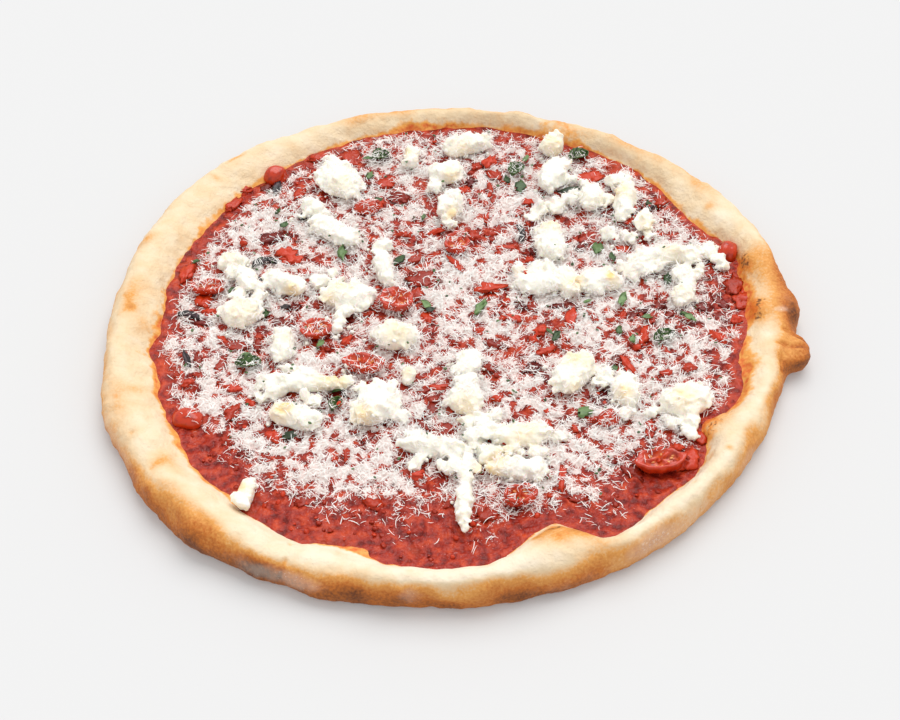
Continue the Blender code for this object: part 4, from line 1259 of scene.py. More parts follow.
# Width in mm of the band beside the rim where little cheese fell: (turn, width).
BAND = (
    (0, 3), (8, 5), (20, 9), (32, 6), (45, 3), (75, 4), (90, 4), (105, 3), (125, 6), (142, 10), (160, 10),
    (175, 7), (190, 7), (200, 8), (216, 14), (235, 16), (250, 18), (270, 17), (290, 11), (305, 8), (320, 9),
    (335, 6), (343, 9), (350, 4), (360, 3),
)
# Chunks of tomato that show between the cheese: (x, y, length, width, turn, tone), in mm and
# degrees; the tone runs from dark red to orange.
CHUNKS = (
    (-74, 97, 8, 5, 60, 0.6), (-85, 63, 14, 7, 10, 0.1), (-78, 51, 10, 9, 0, 0.8), (-100, 58, 4, 3, 0, 0.6),
    (-92, 88, 10, 6, 50, 0.5), (-108, 88, 10, 6, 60, 0.6), (-103, 100, 8, 6, 40, 0.6),
    (-91, 103, 8, 5, 60, 0.1), (-66, 126, 10, 5, 20, 0.6), (-48, 127, 12, 9, 100, 0.5),
    (-32, 126, 8, 4, -10, 0.0), (-15, 128, 9, 5, 100, 0.5), (-41, 107, 9, 4, 110, 0.2),
    (-30, 105, 12, 8, 30, 0.6), (-23, 93, 10, 8, -30, 0.2), (-14, 78, 5, 3, 120, 0.1),
    (-65, 72, 8, 3, -50, 0.1), (-78, 65, 7, 5, 0, 0.1), (-19, 65, 7, 4, 0, 0.6), (-60, 60, 6, 3, 0, 0.2),
    (24, 122, 9, 6, 80, 1.0), (17, 119, 6, 5, 0, 0.5), (26, 112, 8, 5, -40, 0.5), (14, 107, 7, 5, 60, 0.0),
    (11, 100, 6, 6, 0, 0.7), (24, 102, 10, 3, 100, 0.5), (29, 113, 6, 3, 110, 0.4), (43, 90, 6, 4, 20, 0.8),
    (39, 83, 9, 4, 60, 0.5), (22, 78, 8, 3, 80, 0.7), (15, 65, 7, 5, 90, 0.5), (24, 66, 6, 3, 0, 0.5),
    (-4, 67, 10, 3, 30, 0.8), (14, 89, 6, 2, 110, 0.5), (42, 66, 12, 4, 80, 0.2), (75, 110, 14, 8, 20, 0.7),
    (92, 110, 8, 4, 30, 0.5), (85, 96, 10, 3, 60, 0.3), (60, 93, 8, 5, 120, 0.1), (84, 83, 8, 5, 20, 0.1),
    (74, 64, 12, 9, 40, 0.4), (69, 58, 8, 5, 70, 0.1), (89, 55, 8, 7, 0, 0.6), (106, 65, 10, 5, 30, 0.5),
    (45, 56, 16, 3, 95, 0.1), (98, 86, 16, 5, 55, 0.1), (95, 76, 8, 4, 60, 1.0), (112, 90, 8, 5, 60, 0.5),
    (-126, 36, 12, 6, 80, 0.8), (-116, 17, 8, 7, 90, 0.7), (-112, 9, 7, 4, 0, 0.8),
    (-118, 3, 14, 4, -10, 0.1), (-78, 2, 14, 7, -20, 0.1), (-86, 28, 10, 3, -55, 0.3),
    (-100, -14, 13, 7, 0, 0.3), (-88, -14, 8, 4, 90, 0.2), (-105, -10, 6, 3, -40, 0.6),
    (-72, 13, 7, 5, 0, 0.0), (-83, -6, 6, 3, 40, 0.4), (-68, 38, 7, 5, 0, 0.6), (-56, 32, 4, 3, 90, 0.8),
    (-75, 47, 10, 8, 0, 0.8), (-43, 10, 6, 4, -30, 0.0), (-37, 8, 8, 3, 10, 0.5), (-33, 16, 9, 4, 80, 0.8),
    (-46, -11, 8, 4, 60, 0.7), (-46, 48, 7, 6, 90, 0.1), (-10, 32, 14, 12, 0, 0.3),
    (-12, 22, 8, 5, 90, 0.5), (-14, 47, 8, 5, 40, 0.4), (-43, 4, 5, 3, 0, 0.1), (-5, 50, 9, 6, 20, 0.5),
    (6, 43, 12, 3, -55, 0.7), (31, 55, 12, 3, 5, 0.6), (33, 38, 10, 5, 20, 0.2), (22, 24, 13, 6, 10, 0.7),
    (31, 16, 5, 3, 0, 0.7), (37, 14, 6, 5, -40, 0.0), (44, 12, 8, 5, 90, 0.3), (34, 4, 8, 3, -25, 1.0),
    (28, 4, 5, 3, 20, 0.6), (24, -12, 12, 5, -20, 0.2), (47, -4, 7, 5, 60, 0.8), (43, -10, 5, 5, 0, 0.8),
    (17, -5, 6, 4, 0, 0.6), (-8, 4, 8, 6, 90, 0.6), (43, 46, 5, 4, 0, 0.8), (57, 13, 10, 3, 5, 0.0),
    (63, 12, 8, 5, 0, 0.1), (62, 4, 13, 5, 80, 1.0), (86, 5, 10, 4, 70, 0.5), (91, 7, 7, 5, 60, 0.1),
    (99, 11, 14, 4, 20, 0.0), (101, 5, 8, 5, 80, 0.4), (48, -17, 10, 5, 20, 0.6), (58, -15, 6, 3, -50, 0.5),
    (92, -16, 4, 4, 0, 1.0), (96, -7, 12, 5, 80, 0.7), (105, -18, 8, 3, 110, 0.6), (72, 5, 8, 3, -60, 0.5),
    (130, 38, 12, 8, 50, 0.4), (142, 28, 12, 8, 80, 0.4), (145, 17, 12, 7, 80, 0.6),
    (135, 17, 12, 4, 120, 0.1), (133, 7, 6, 4, 40, 0.2), (126, 13, 8, 8, 0, 0.1), (131, -9, 9, 7, -50, 0.8),
    (113, -5, 8, 5, 100, 0.2), (141, 3, 6, 4, 60, 0.9), (105, 14, 8, 4, 40, 0.1), (110, 8, 6, 4, 40, 0.2),
    (107, 34, 6, 3, 120, 0.1), (-104, -28, 12, 4, 75, 0.4), (-115, -24, 10, 4, 110, 0.2),
    (-113, -34, 7, 4, -20, 0.4), (-97, -43, 9, 4, -10, 1.0), (-88, -51, 8, 4, -40, 0.9),
    (-96, -57, 9, 6, 60, 0.5), (-90, -63, 8, 5, 0, 0.3), (-76, -73, 8, 6, -40, 0.9),
    (-118, -40, 6, 4, 50, 0.6), (-79, -27, 9, 4, 100, 0.3), (-77, -31, 5, 4, 0, 1.0),
    (-88, -83, 6, 5, 20, 0.1), (-79, -86, 6, 6, 0, 0.3), (-97, -75, 8, 5, -50, 0.4),
    (-61, -46, 7, 5, 90, 0.0), (-50, -46, 12, 6, 10, 0.0), (-56, -52, 7, 4, -50, 0.1),
    (-27, -42, 10, 3, 100, 0.4), (-34, -73, 8, 4, 50, 0.2), (-40, -70, 5, 3, 0, 0.2),
    (-19, -88, 9, 6, 80, 0.2), (-11, -97, 7, 4, 20, 1.0), (-48, -87, 3, 3, 0, 1.0),
    (-43, -62, 5, 3, 20, 0.1), (-43, -84, 7, 3, 90, 0.5), (-5, -55, 14, 4, 55, 0.2),
    (-4, -49, 5, 4, 0, 0.3), (1, -68, 10, 8, 0, 0.3), (-9, -65, 7, 5, -40, 0.2), (-2, -41, 12, 4, 0, 0.6),
    (-8, -43, 6, 3, 20, 0.3), (25, -50, 5, 4, 0, 0.7), (22, -28, 7, 5, -50, 0.3), (42, -28, 9, 6, 50, 0.0),
    (48, -34, 7, 3, 110, 0.1), (53, -98, 14, 3, 85, 0.8), (48, -57, 3, 3, 0, 1.0), (48, -65, 4, 3, 90, 0.9),
    (55, -62, 5, 3, 60, 0.2), (-3, -76, 6, 3, -30, 0.8), (42, -44, 6, 3, 60, 0.5), (30, -63, 4, 2, 20, 0.1),
    (74, -49, 12, 9, 100, 0.0), (69, -62, 8, 4, 0, 0.5), (87, -28, 12, 4, 110, 0.8),
    (82, -23, 6, 4, 100, 0.1), (90, -46, 7, 3, 115, 0.2), (94, -68, 9, 5, 80, 0.5), (84, -74, 6, 4, 0, 0.3),
    (76, -88, 5, 4, 40, 0.1), (109, -87, 12, 9, 60, 0.9), (116, -73, 8, 4, 110, 0.6),
    (105, -79, 6, 4, 0, 0.7), (60, -68, 5, 3, 90, 0.6), (90, -82, 8, 5, -30, 0.3), (104, -33, 6, 4, 0, 0.6),
    (115, -30, 8, 5, 30, 0.5), (57, -60, 5, 4, 20, 0.2), (85, -94, 10, 6, -40, 0.2),
    (-60, -110, 9, 6, 20, 0.3), (-30, -112, 8, 5, -20, 0.5), (20, -118, 9, 6, 30, 0.4),
    (60, -108, 9, 5, 10, 0.3), (120, -50, 5, 4, 0, 0.4),
)
# Shreds of basil: (x, y, length, width, turn, tone), from cooked dark green to pale green.
HERBS = (
    (-80, 70, 5, 4, 60, 0.5), (-33, 90, 4, 3, 0, 0.5), (-38, 110, 6, 4, 80, 0.7), (-39, 124, 6, 3, 30, 0.6),
    (-10, 77, 5, 2, 80, 0.6), (33, 106, 5, 3, 110, 0.3), (40, 101, 8, 5, 90, 0.4), (66, 99, 11, 4, 10, 0.1),
    (77, 54, 9, 5, 80, 0.7), (84, 47, 6, 3, 100, 0.4), (87, 15, 9, 4, 80, 0.9), (98, 4, 5, 3, 20, 0.7),
    (84, -5, 6, 3, 90, 0.6), (54, -9, 6, 4, 60, 0.3), (110, 31, 7, 4, 80, 0.3), (118, 3, 8, 3, -40, 0.9),
    (18, 9, 9, 4, 60, 0.9), (-8, 13, 7, 4, -60, 0.9), (-6, 9, 5, 3, 20, 0.0), (-22, 45, 11, 4, 60, 0.3),
    (-86, 7, 7, 5, 20, 0.4), (-55, 0, 6, 3, 100, 0.4), (-50, 50, 9, 4, 90, 0.8), (-69, -73, 6, 5, 0, 0.1),
    (-47, -43, 9, 3, 20, 0.5), (65, -59, 8, 6, 60, 0.8), (40, -97, 7, 3, 80, 0.4), (80, -31, 5, 3, 60, 0.6),
    (90, -12, 6, 3, 80, 0.9), (-103, 23, 4, 2, 60, 0.5), (43, 122, 6, 3, 70, 0.8), (105, 88, 5, 3, 90, 0.2),
    (-70, -32, 4, 2, 0, 0.0), (-93, -22, 6, 2, 10, 0.8), (-58, -14, 6, 3, 70, 0.9), (70, 14, 5, 2, 40, 0.8),
    (-122, 44, 4, 2, 30, 0.5), (51, -6, 5, 2, 130, 0.6), (-84, 80, 4, 2, 60, 0.4), (2, 117, 6, 3, 110, 0.5),
)
# Slivers of black olive: (x, y, length, width, turn).
OLIVE_SLIVERS = (
    (-86, 101, 10, 4, 80), (-72, 78, 5, 3, 60), (-120, -25, 9, 3, 110), (6, 62, 6, 3, 10),
    (-89, 31, 5, 2, -50), (-71, 76, 4, 2, 0), (96, 81, 6, 3, 40), (-76, 12, 5, 3, 20), (82, 68, 5, 2, 20),
)


PLAIN_COVER = 0.92         # cover where no table says more or less
LOST_COVER = 0.1           # taken from all of it at the end, so that thin places stay bare
ON_CURD, ON_TOPPING = 0.22, 0.5   # share of the cover that stays on these
BY_CURD = 0.8              # share of the cover that is added beside the curds


def ellipse_gap(x, y, chunk):
    """Distance from a chunk's middle, as a share of the way to its edge."""
    place_x, place_y, length, width, turn = chunk[:5]
    cos, sin = math.cos(math.radians(turn)), math.sin(math.radians(turn))
    away_x, away_y = x - place_x * MM, y - place_y * MM
    along, across = away_x * cos + away_y * sin, away_y * cos - away_x * sin
    return np.hypot(along / (0.5 * length * MM), across / (0.5 * width * MM))


def cheese_cover(x, y, edge_gap, turn):
    """How much grated cheese lies at places given from the dough's middle, from 0 to about 2."""
    cover = np.full(x.shape, PLAIN_COVER)
    for place_x, place_y, radius, amount in THICK:
        away = np.hypot(x - place_x * MM, y - place_y * MM)
        cover += amount * np.exp(-(away / (radius * MM)) ** 2)
    for place_x, place_y, radius, amount in BARE:
        away = np.hypot(x - place_x * MM, y - place_y * MM)
        cover *= 1 - amount * np.exp(-(away / (radius * MM)) ** 4)
    for chunks, cleared in ((CHUNKS, 0.4), (HERBS, 0.5), (OLIVE_SLIVERS, 0.5)):
        for chunk in chunks:
            cover *= 1 - cleared * np.exp(-ellipse_gap(x, y, chunk) ** 4)
    flat = level_points(x, y)
    clumps = 1.3 * clouds(flat, 8 * MM, 41) + 2.1 * clouds(flat, 3.2 * MM, 42)
    cover *= np.clip(1.0 + clumps, 0.05, 2.4)
    band = np.interp(turn, *np.array(BAND).T) * MM
    return np.maximum(cover - LOST_COVER, 0) * smooth_step(0.35 * band, 1.25 * band, edge_gap)


def build_bed():
    """The surface that loose pieces fall on, with how much cheese each place gets."""
    def heights(missing, *endings):
        """A height map of the pieces whose names have one of these endings."""
        meshes = [piece.data for piece in bpy.data.objects if piece.name.endswith(endings)]
        return height_map(tree_of(*meshes), missing)

    sauce, curd = heights(SAUCE_TOP, "tomato_sauce"), heights(0, "_curd")
    topping, rim = heights(0, "_half", "_piece", "_leaf"), heights(0, "baked_dough")
    tops = np.maximum.reduce((sauce, curd, topping, rim))
    on_curd = curd > sauce
    steps = (np.arange(2 * MAP_HALF + 1) - MAP_HALF) * MAP_STEP
    x, y = np.meshgrid(steps, steps)
    edge = sauce_edge(tree_of(bpy.data.objects["baked_dough"].data))
    turn = np.degrees(np.arctan2(y, x)) % 360
    turns = np.arange(SAUCE_TURNS + 1) * 360 / SAUCE_TURNS
    edge_gap = np.interp(turn, turns, np.append(edge, edge[0])) - np.hypot(x, y)
    cover = cheese_cover(x, y, edge_gap, turn)
    cover *= np.where(on_curd, ON_CURD, 1.0) * np.where(topping > sauce, ON_TOPPING, 1.0)
    near_curd = blurred(blurred(on_curd.astype(float), 2.5, 0, False), 2.5, 1, False) * ~on_curd
    cover *= 1 + BY_CURD * near_curd
    size = 2 * MAP_HALF + 1
    points = np.stack((CENTRE.x + x, CENTRE.y + y, tops), -1).reshape(-1, 3)
    kept = (edge_gap > -1 * MM).ravel()
    faces = []
    for row in range(size - 1):
        for column in range(size - 1):
            corner = row * size + column
            if kept[corner] and kept[corner + size + 1]:
                faces.append((corner, corner + 1, corner + size + 1, corner + size))
    mesh = bpy.data.meshes.new("bed")
    mesh.from_pydata([tuple(point) for point in points], [], faces)
    set_attribute(mesh, "cover", np.clip(cover, 0, 2))
    set_attribute(mesh, "near_curd", near_curd)
    open_sauce = smooth_step(2 * MM, 8 * MM, edge_gap) * ~on_curd * smooth_step(0.8, 0.3, cover)
    set_attribute(mesh, "open_sauce", open_sauce)
    return mesh_object("bed", mesh)


def add_chunk(bm, chunk, low, height, draw):
    """Add an uneven rounded lump that lies on the sauce."""
    x, y, length, width, turn = chunk[:5]
    fine = 3 if length > 5 else 2
    shape = bmesh.ops.create_icosphere(bm, subdivisions=fine, radius=0.5)["verts"]
    shift = Vector((draw.uniform(0, 90), draw.uniform(0, 90), 0))
    spin = Matrix.Rotation(math.radians(turn), 3, "Z")
    for vertex in shape:
        uneven = 1.05 + 0.7 * noise.noise(vertex.co * 3 + shift) + 0.5 * noise.noise(vertex.co * 8 + shift)
        flat = Vector((vertex.co.x * length * MM, vertex.co.y * width * MM, 0))
        place = spin @ (flat * uneven)
        rise = low + height * (0.35 + 1.3 * vertex.co.z * uneven)
        vertex.co = Vector((CENTRE.x + x * MM + place.x, CENTRE.y + y * MM + place.y, rise))
    return shape


def add_scrap(bm, scrap, low, draw):
    """Add a thin curled scrap, pointed at both ends."""
    x, y, length, width, turn = scrap[:5]
    shape = bmesh.ops.create_uvsphere(bm, u_segments=12, v_segments=8, radius=0.5)["verts"]
    shift = Vector((draw.uniform(0, 90), draw.uniform(0, 90), 0))
    spin = Matrix.Rotation(math.radians(turn), 3, "Z")
    curl, tilt = draw.uniform(-0.5, 1.2), draw.uniform(-0.3, 0.3)
    for vertex in shape:
        along, across = 2 * vertex.co.x, 2 * vertex.co.y
        narrowing = 1 - 0.4 * abs(along) ** 1.5
        ruffle = 0.35 * noise.noise(Vector((along, across, 0)) * 2 + shift)
        torn = 1 + 0.9 * noise.noise(vertex.co * 4 + shift)
        place = spin @ Vector((0.5 * length * along, 0.5 * width * across * narrowing, 0)) * torn * MM
        rise = low + (0.8 * vertex.co.z + curl * along ** 2 + 0.8 * ruffle + 0.5 * abs(across)) * MM
        rise += tilt * along * 0.5 * length * MM
        vertex.co = Vector((CENTRE.x + x * MM + place.x, CENTRE.y + y * MM + place.y, rise))
    return shape


def sauce_level(chunk, tree):
    """Height of the sauce under a chunk."""
    start = CENTRE + Vector((chunk[0] * MM, chunk[1] * MM, ABOVE))
    hit = tree.ray_cast(start, Vector((0, 0, -1)))[0]
    return hit.z if hit else SAUCE_TOP


def build_placed(name, chunks, seed, thin):
    """Lumps or thin scraps at given places on the sauce as one mesh, with the tone of each."""
    tree = tree_of(bpy.data.objects["tomato_sauce"].data)
    draw = random.Random(seed)
    bm = bmesh.new()
    layer = bm.verts.layers.float.new("tone")
    for chunk in chunks:
        level = sauce_level(chunk, tree)
        tone = chunk[5] if len(chunk) > 5 else 0
        if thin:
            shape = add_scrap(bm, chunk, level + (1.6 + 0.8 * tone) * MM, draw)
        else:
            shape = add_chunk(bm, chunk, level, (0.8 + 1.5 * tone) * MM, draw)
        for vertex in shape:
            vertex[layer] = tone
    return mesh_object(name, mesh_of(bm, name))


class PIZZA_OT_chunks(bpy.types.Operator):
    """Lay the small chunks of tomato, the basil shreds and the olive slivers on the sauce"""
    bl_idname = "pizza.chunks"
    bl_label = "Small chunks and shreds"

    def execute(self, context):
        settings = context.scene.pizza_toppings
        kinds = (
            ("tomato_chunks", CHUNKS, False, chunk_material, "tomato"),
            ("basil_shreds", HERBS, True, shred_leaf_material, "basil"),
            ("olive_slivers", OLIVE_SLIVERS, True, olive_material, "olive"),
        )
        for seed, (name, table, thin, material, slot) in enumerate(kinds, 51):
            finished(build_placed(name, table, seed, thin), material(settings), slot)
        return {"FINISHED"}


def shred_object(name, length, width, thickness, parts, draw):
    """A curl of grated cheese: a thin three-sided strip along a curved and twisted line."""
    bend, lift, twist = draw.uniform(-0.9, 0.9), draw.uniform(-0.2, 0.4), draw.uniform(-0.6, 0.6)
    points = []
    for step in range(parts + 1):
        along = step / parts - 0.5
        angle = 2 * bend * along
        reach = math.sin(angle) / (2 * bend) if abs(bend) > 0.01 else along
        middle = Vector((reach * length, (1 - math.cos(angle)) / (2 * bend + 0.001) * length, 0))
        middle.z = lift * length * (0.25 - along ** 2)
        taper = 1 - 0.5 * abs(2 * along) ** 3
        for corner in range(3):
            spin = twist * along + 2 * math.pi * corner / 3 - math.pi / 2
            offset = Vector((0, math.cos(spin) * width / 2, math.sin(spin) * thickness * 0.6)) * taper
            points.append(middle + offset)
    faces = [(2, 1, 0), tuple(3 * parts + corner for corner in range(3))]
    for step in range(parts):
        for corner in range(3):
            beside = (corner + 1) % 3
            start = 3 * step
            faces.append((start + corner, start + beside, start + 3 + beside, start + 3 + corner))
    mesh = bpy.data.meshes.new(name)
    mesh.from_pydata(points, [], faces)
    return bpy.data.objects.new(name, mesh)


def chip_object(name, length, width, thickness, draw):
    """A small rounded scrap with a tone of its own."""
    bm = bmesh.new()
    bmesh.ops.create_uvsphere(bm, u_segments=6, v_segments=4, radius=0.5)
    shift = Vector((draw.uniform(0, 50), 0, 0))
    for vertex in bm.verts:
        uneven = 1 + 0.5 * noise.noise(vertex.co * 3 + shift)
        vertex.co = Vector((vertex.co.x * length, vertex.co.y * width, vertex.co.z * thickness)) * uneven
    mesh = mesh_of(bm, name)
    mesh.shade_smooth()
    set_attribute(mesh, "tone", np.full(len(mesh.vertices), draw.uniform(0.2, 0.8)))
    return bpy.data.objects.new(name, mesh)


def scatter_tree():
    """Node tree that drops shapes on a surface, as many at each place as an attribute says."""
    tree = bpy.data.node_groups.new("scattered_shapes", "GeometryNodeTree")
    sockets = (
        ("Surface", "NodeSocketGeometry"), ("Shapes", "NodeSocketCollection"), ("Where", "NodeSocketString"),
        ("Number", "NodeSocketFloat"), ("Depth", "NodeSocketFloat"), ("Lowest", "NodeSocketFloat"),
        ("Tilt", "NodeSocketFloat"), ("Least Size", "NodeSocketFloat"), ("Seed", "NodeSocketInt"),
        ("Finish", "NodeSocketMaterial"),
    )
    for name, kind in sockets:
        tree.interface.new_socket(name=name, in_out="INPUT", socket_type=kind)
    tree.interface.new_socket(name="Geometry", in_out="OUTPUT", socket_type="NodeSocketGeometry")
    given = add(tree, "NodeGroupInput").outputs
    named = {"Name": given["Where"]}
    where = add(tree, "GeometryNodeInputNamedAttribute", named, data_type="FLOAT").outputs[0]
    number = times(tree, where, given["Number"])
    points = add(tree, "GeometryNodeDistributePointsOnFaces", {
        "Mesh": given["Surface"], "Density": number, "Seed": given["Seed"],
    }, distribute_method="RANDOM").outputs["Points"]
    level = add(tree, "FunctionNodeRandomValue", {"Seed": given["Seed"]}, data_type="FLOAT").outputs[1]
    pile = times(tree, times(tree, level, given["Depth"]), where)
    rise = plus(tree, pile, given["Lowest"])
    offset = add(tree, "ShaderNodeCombineXYZ", {"Z": rise}).outputs[0]
    sunk = minus(tree, 1.0, times(tree, level, where), clamp=True)
    points = add(tree, "GeometryNodeStoreNamedAttribute", {
        "Geometry": points, "Name": "depth", "Value": sunk,
    }, data_type="FLOAT", domain="POINT").outputs[0]
    points = add(tree, "GeometryNodeSetPosition", {"Geometry": points, "Offset": offset}).outputs[0]
    shapes = add(tree, "GeometryNodeCollectionInfo", {
        "Collection": given["Shapes"], "Separate Children": True, "Reset Children": True,
    }).outputs[0]
    back = times(tree, given["Tilt"], -1.0)
    low = add(tree, "ShaderNodeCombineXYZ", {"X": back, "Y": back, "Z": 0.0}).outputs[0]
    limits = {"X": given["Tilt"], "Y": given["Tilt"], "Z": 2 * math.pi}
    high = add(tree, "ShaderNodeCombineXYZ", limits).outputs[0]
    turn = add(tree, "FunctionNodeRandomValue", {0: low, 1: high}, data_type="FLOAT_VECTOR").outputs[0]
    pick = add(tree, "FunctionNodeRandomValue", {4: 0, 5: 1000}, data_type="INT").outputs[2]
    limits = {2: given["Least Size"], 3: 1.0}
    size = add(tree, "FunctionNodeRandomValue", limits, data_type="FLOAT").outputs[1]
    placed = add(tree, "GeometryNodeInstanceOnPoints", {
        "Points": points, "Instance": shapes, "Pick Instance": True, "Instance Index": pick,
        "Rotation": turn, "Scale": size,
    }).outputs[0]
    real = add(tree, "GeometryNodeRealizeInstances", {"Geometry": placed}).outputs[0]
    done = add(tree, "GeometryNodeSetMaterial", {"Geometry": real, "Material": given["Finish"]}).outputs[0]
    add(tree, "NodeGroupOutput", {"Geometry": done})
    return tree


def scatter(name, bed, shapes, tree, material, **values):
    """Drop shapes on the bed and return them as one plain mesh object."""
    group = bpy.data.collections.new(name + "_shapes")
    for shape in shapes:
        group.objects.link(shape)
    piece = mesh_object(name, bed.data.copy())
    modifier = piece.modifiers.new("scatter", "NODES")
    modifier.node_group = tree
    values = {"Shapes": group, "Finish": material, **values}
    for item in tree.interface.items_tree:
        if item.in_out == "INPUT" and item.name in values:
            modifier[item.identifier] = values[item.name]
    piece.update_tag()
    result = mesh_object(name + "_loose", baked_mesh(piece))
    for shape in shapes:
        bpy.data.objects.remove(shape)
    bpy.data.collections.remove(group)
    result.name = name
    return result


CHIPS = 6                  # different shapes of each kind of crumb


class PIZZA_OT_loose(bpy.types.Operator):
    """Scatter the grated cheese, ricotta crumbs, tomato bits and herb flecks"""
    bl_idname = "pizza.loose"
    bl_label = "Grated cheese and crumbs"

    def execute(self, context):
        cheese = context.scene.pizza_cheese
        toppings = context.scene.pizza_toppings
        draw = random.Random(8)
        bed = build_bed()
        tree = scatter_tree()

        def shreds(kind, count, shortest, longest, parts):
            """Shreds between two lengths in mm, each bent in a number of parts."""
            form = cheese.width, cheese.thickness, parts, draw
            return [
                shred_object(f"{kind}_{index}", draw.uniform(shortest, longest) * MM, *form)
                for index in range(count)
            ]

        white = cheese_material(cheese, "grated_cheese", 0.35)
        soaked_and_lit_through = cheese_material(cheese, "soaked_cheese", 1.0)
        # Name, material, shapes, share of the shreds, depth as a share of the pile, height of the
        # lowest above the bed in mm, and tilt.
        layers = (
            # The soaked shreds lie lowest; their pink is partly painted light from the sauce beneath them.
            ("soaked_shreds", soaked_and_lit_through, shreds("soaked", 10, 3, 7, 3), 0.138, 0.5, 0.15, 0.35),
            ("white_shreds", white, shreds("white", 12, 3, 6, 3), 0.138, 1.0, 0.35, 0.45),
            ("white_curls", white, shreds("curl", 12, 4, 7, 4), 0.085, 1.0, 0.6, 0.40),
            ("cheese_crumbs", white, shreds("crumb", 8, 1.2, 3.0, 1), 0.345, 0.9, 0.3, 0.6),
        )
        for seed, (name, material, shapes, share, depth, lowest, tilt) in enumerate(layers):
            piece = scatter(
                name, bed, shapes, tree, material, Where="cover", Number=share * cheese.shreds,
                Depth=depth * cheese.pile, Lowest=lowest * MM, Tilt=tilt, Seed=seed, **{"Least Size": 0.6},
            )
            finished(piece, material, "sauce", smooth=False)
        ricotta = ricotta_material(context.scene.pizza_ricotta)
        # Name, material, slot, size in mm, number for each square metre, where, and height in mm.
        others = (
            ("tomato_bits", chunk_material(toppings), "tomato", (4, 3, 1.6), 12000.0, "open_sauce", 0.1),
            ("herb_flecks", shred_leaf_material(toppings), "basil", (2.4, 1.6, 0.6), 2500.0, "cover", 1.6),
            ("ricotta_crumbs", ricotta, "ricotta", (3.0, 2.6, 2.2), 45000.0, "near_curd", 0.6),
        )
        for seed, (name, material, slot, sizes, number, where, lowest) in enumerate(others, 11):
            sizes = [size * MM for size in sizes]
            shapes = [chip_object(f"{name}_{index}", *sizes, draw) for index in range(CHIPS)]
            piece = scatter(
                name, bed, shapes, tree, material, Where=where, Number=number, Depth=0.5 * MM,
                Lowest=lowest * MM, Tilt=0.4, Seed=seed, **{"Least Size": 0.4},
            )
            finished(piece, material, slot)
        bpy.data.objects.remove(bed)
        return {"FINISHED"}


# ---- the stage ----

VIEW_HEIGHT = 45.2         # degrees of the camera above the floor
AIM = Vector((3.5 * MM, -14.5 * MM, 0))   # what the camera looks at, from the dough's middle
FOCAL_LENGTH = 75.0        # in mm
SENSOR_WIDTH = 36.0        # in mm
FLOOR_RADIUS = 6.0
SUN_SPREAD = 50            # apparent size of the light in degrees; a large one gives soft shadows
SUN_TILT = (-28, 10)       # degrees round X and Y from straight down


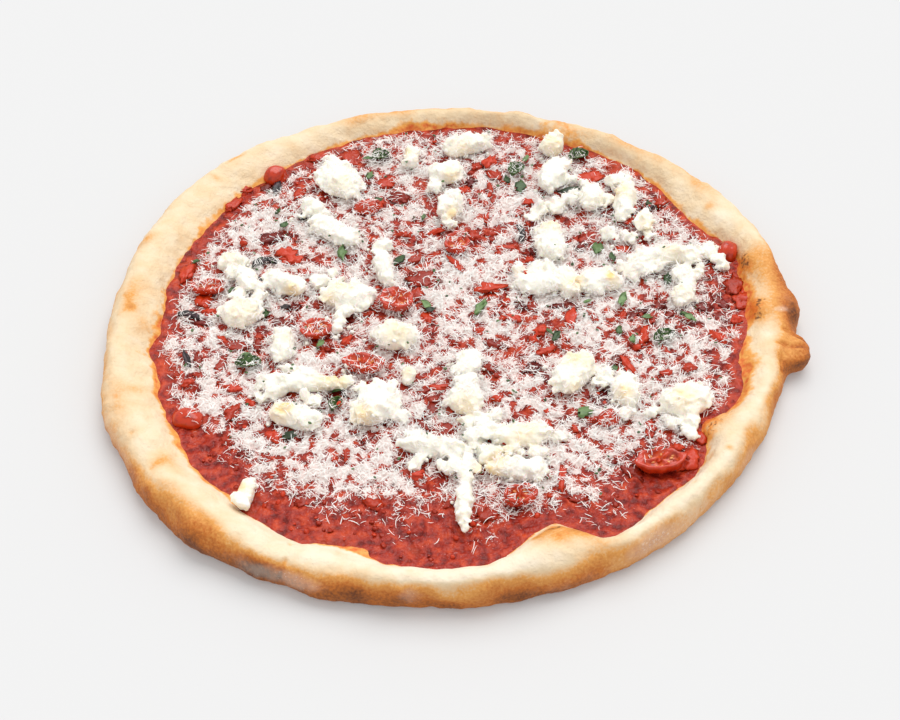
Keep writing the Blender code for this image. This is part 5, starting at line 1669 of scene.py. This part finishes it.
class PIZZA_OT_stage(bpy.types.Operator):
    """Set up the floor, the light and the camera"""
    bl_idname = "pizza.stage"
    bl_label = "Stage"

    def execute(self, context):
        settings = context.scene.pizza_stage
        bm = bmesh.new()
        bmesh.ops.create_circle(bm, cap_ends=True, segments=64, radius=FLOOR_RADIUS)
        floor = mesh_object("floor", mesh_of(bm, "floor"))
        floor.data.materials.append(floor_material(settings))

        world = bpy.data.worlds.new("soft_box")
        world.use_nodes = True
        background = world.node_tree.nodes["Background"]
        background.inputs["Color"].default_value = (1.0, 1.0, 1.0, 1)
        background.inputs["Strength"].default_value = settings.ambient
        context.scene.world = world

        light = bpy.data.lights.new("key_light", "SUN")
        light.energy = settings.key
        light.angle = math.radians(SUN_SPREAD)
        key = bpy.data.objects.new("key_light", light)
        key.rotation_euler = (*map(math.radians, SUN_TILT), 0)
        context.scene.collection.objects.link(key)

        camera = bpy.data.cameras.new("camera")
        camera.lens = FOCAL_LENGTH
        camera.sensor_width = SENSOR_WIDTH
        camera.clip_end = 20.0
        eye = bpy.data.objects.new("camera", camera)
        tilt = math.radians(VIEW_HEIGHT)
        back = Vector((0, -math.cos(tilt), math.sin(tilt)))
        eye.location = CENTRE + AIM + settings.distance * back
        eye.rotation_euler = (math.pi / 2 - tilt, 0, 0)
        context.scene.collection.objects.link(eye)
        context.scene.camera = eye
        context.scene.view_settings.view_transform = "Standard"
        return {"FINISHED"}


class PIZZA_PT_panel(bpy.types.Panel):
    """The steps and settings of the pizza"""
    bl_label = "Pizza"
    bl_idname = "PIZZA_PT_panel"
    bl_space_type = "VIEW_3D"
    bl_region_type = "UI"
    bl_category = "Pizza"

    def draw(self, context):
        for name, settings, operators in STEPS:
            box = self.layout.box()
            for operator in operators:
                box.operator(operator)
            for field in settings.__annotations__:
                box.prop(getattr(context.scene, name), field)


# Settings of each group of steps and the operators that use them, in the order they run.
STEPS = (
    ("pizza_dough", DoughSettings, ("pizza.dough",)),
    ("pizza_sauce", SauceSettings, ("pizza.sauce",)),
    ("pizza_ricotta", RicottaSettings, ("pizza.ricotta",)),
    ("pizza_toppings", ToppingSettings, ("pizza.tomatoes", "pizza.olives", "pizza.basil", "pizza.chunks")),
    ("pizza_cheese", CheeseSettings, ("pizza.loose",)),
    ("pizza_stage", StageSettings, ("pizza.stage",)),
)
OPERATORS = (
    PIZZA_OT_dough, PIZZA_OT_sauce, PIZZA_OT_ricotta, PIZZA_OT_tomatoes, PIZZA_OT_olives,
    PIZZA_OT_basil, PIZZA_OT_chunks, PIZZA_OT_loose, PIZZA_OT_stage,
)


def register():
    for _name, settings, _operators in STEPS:
        bpy.utils.register_class(settings)
    for operator in (*OPERATORS, PIZZA_PT_panel):
        bpy.utils.register_class(operator)
    for name, settings, _operators in STEPS:
        setattr(bpy.types.Scene, name, PointerProperty(type=settings))


def unregister():
    for name, _settings, _operators in STEPS:
        delattr(bpy.types.Scene, name)
    for operator in (*OPERATORS, PIZZA_PT_panel):
        bpy.utils.unregister_class(operator)
    for _name, settings, _operators in STEPS:
        bpy.utils.unregister_class(settings)


def main():
    register()
    for _name, _settings, operators in STEPS:
        for operator in operators:
            getattr(bpy.ops.pizza, operator.split(".")[1])()


if __name__ == "__main__":
    main()
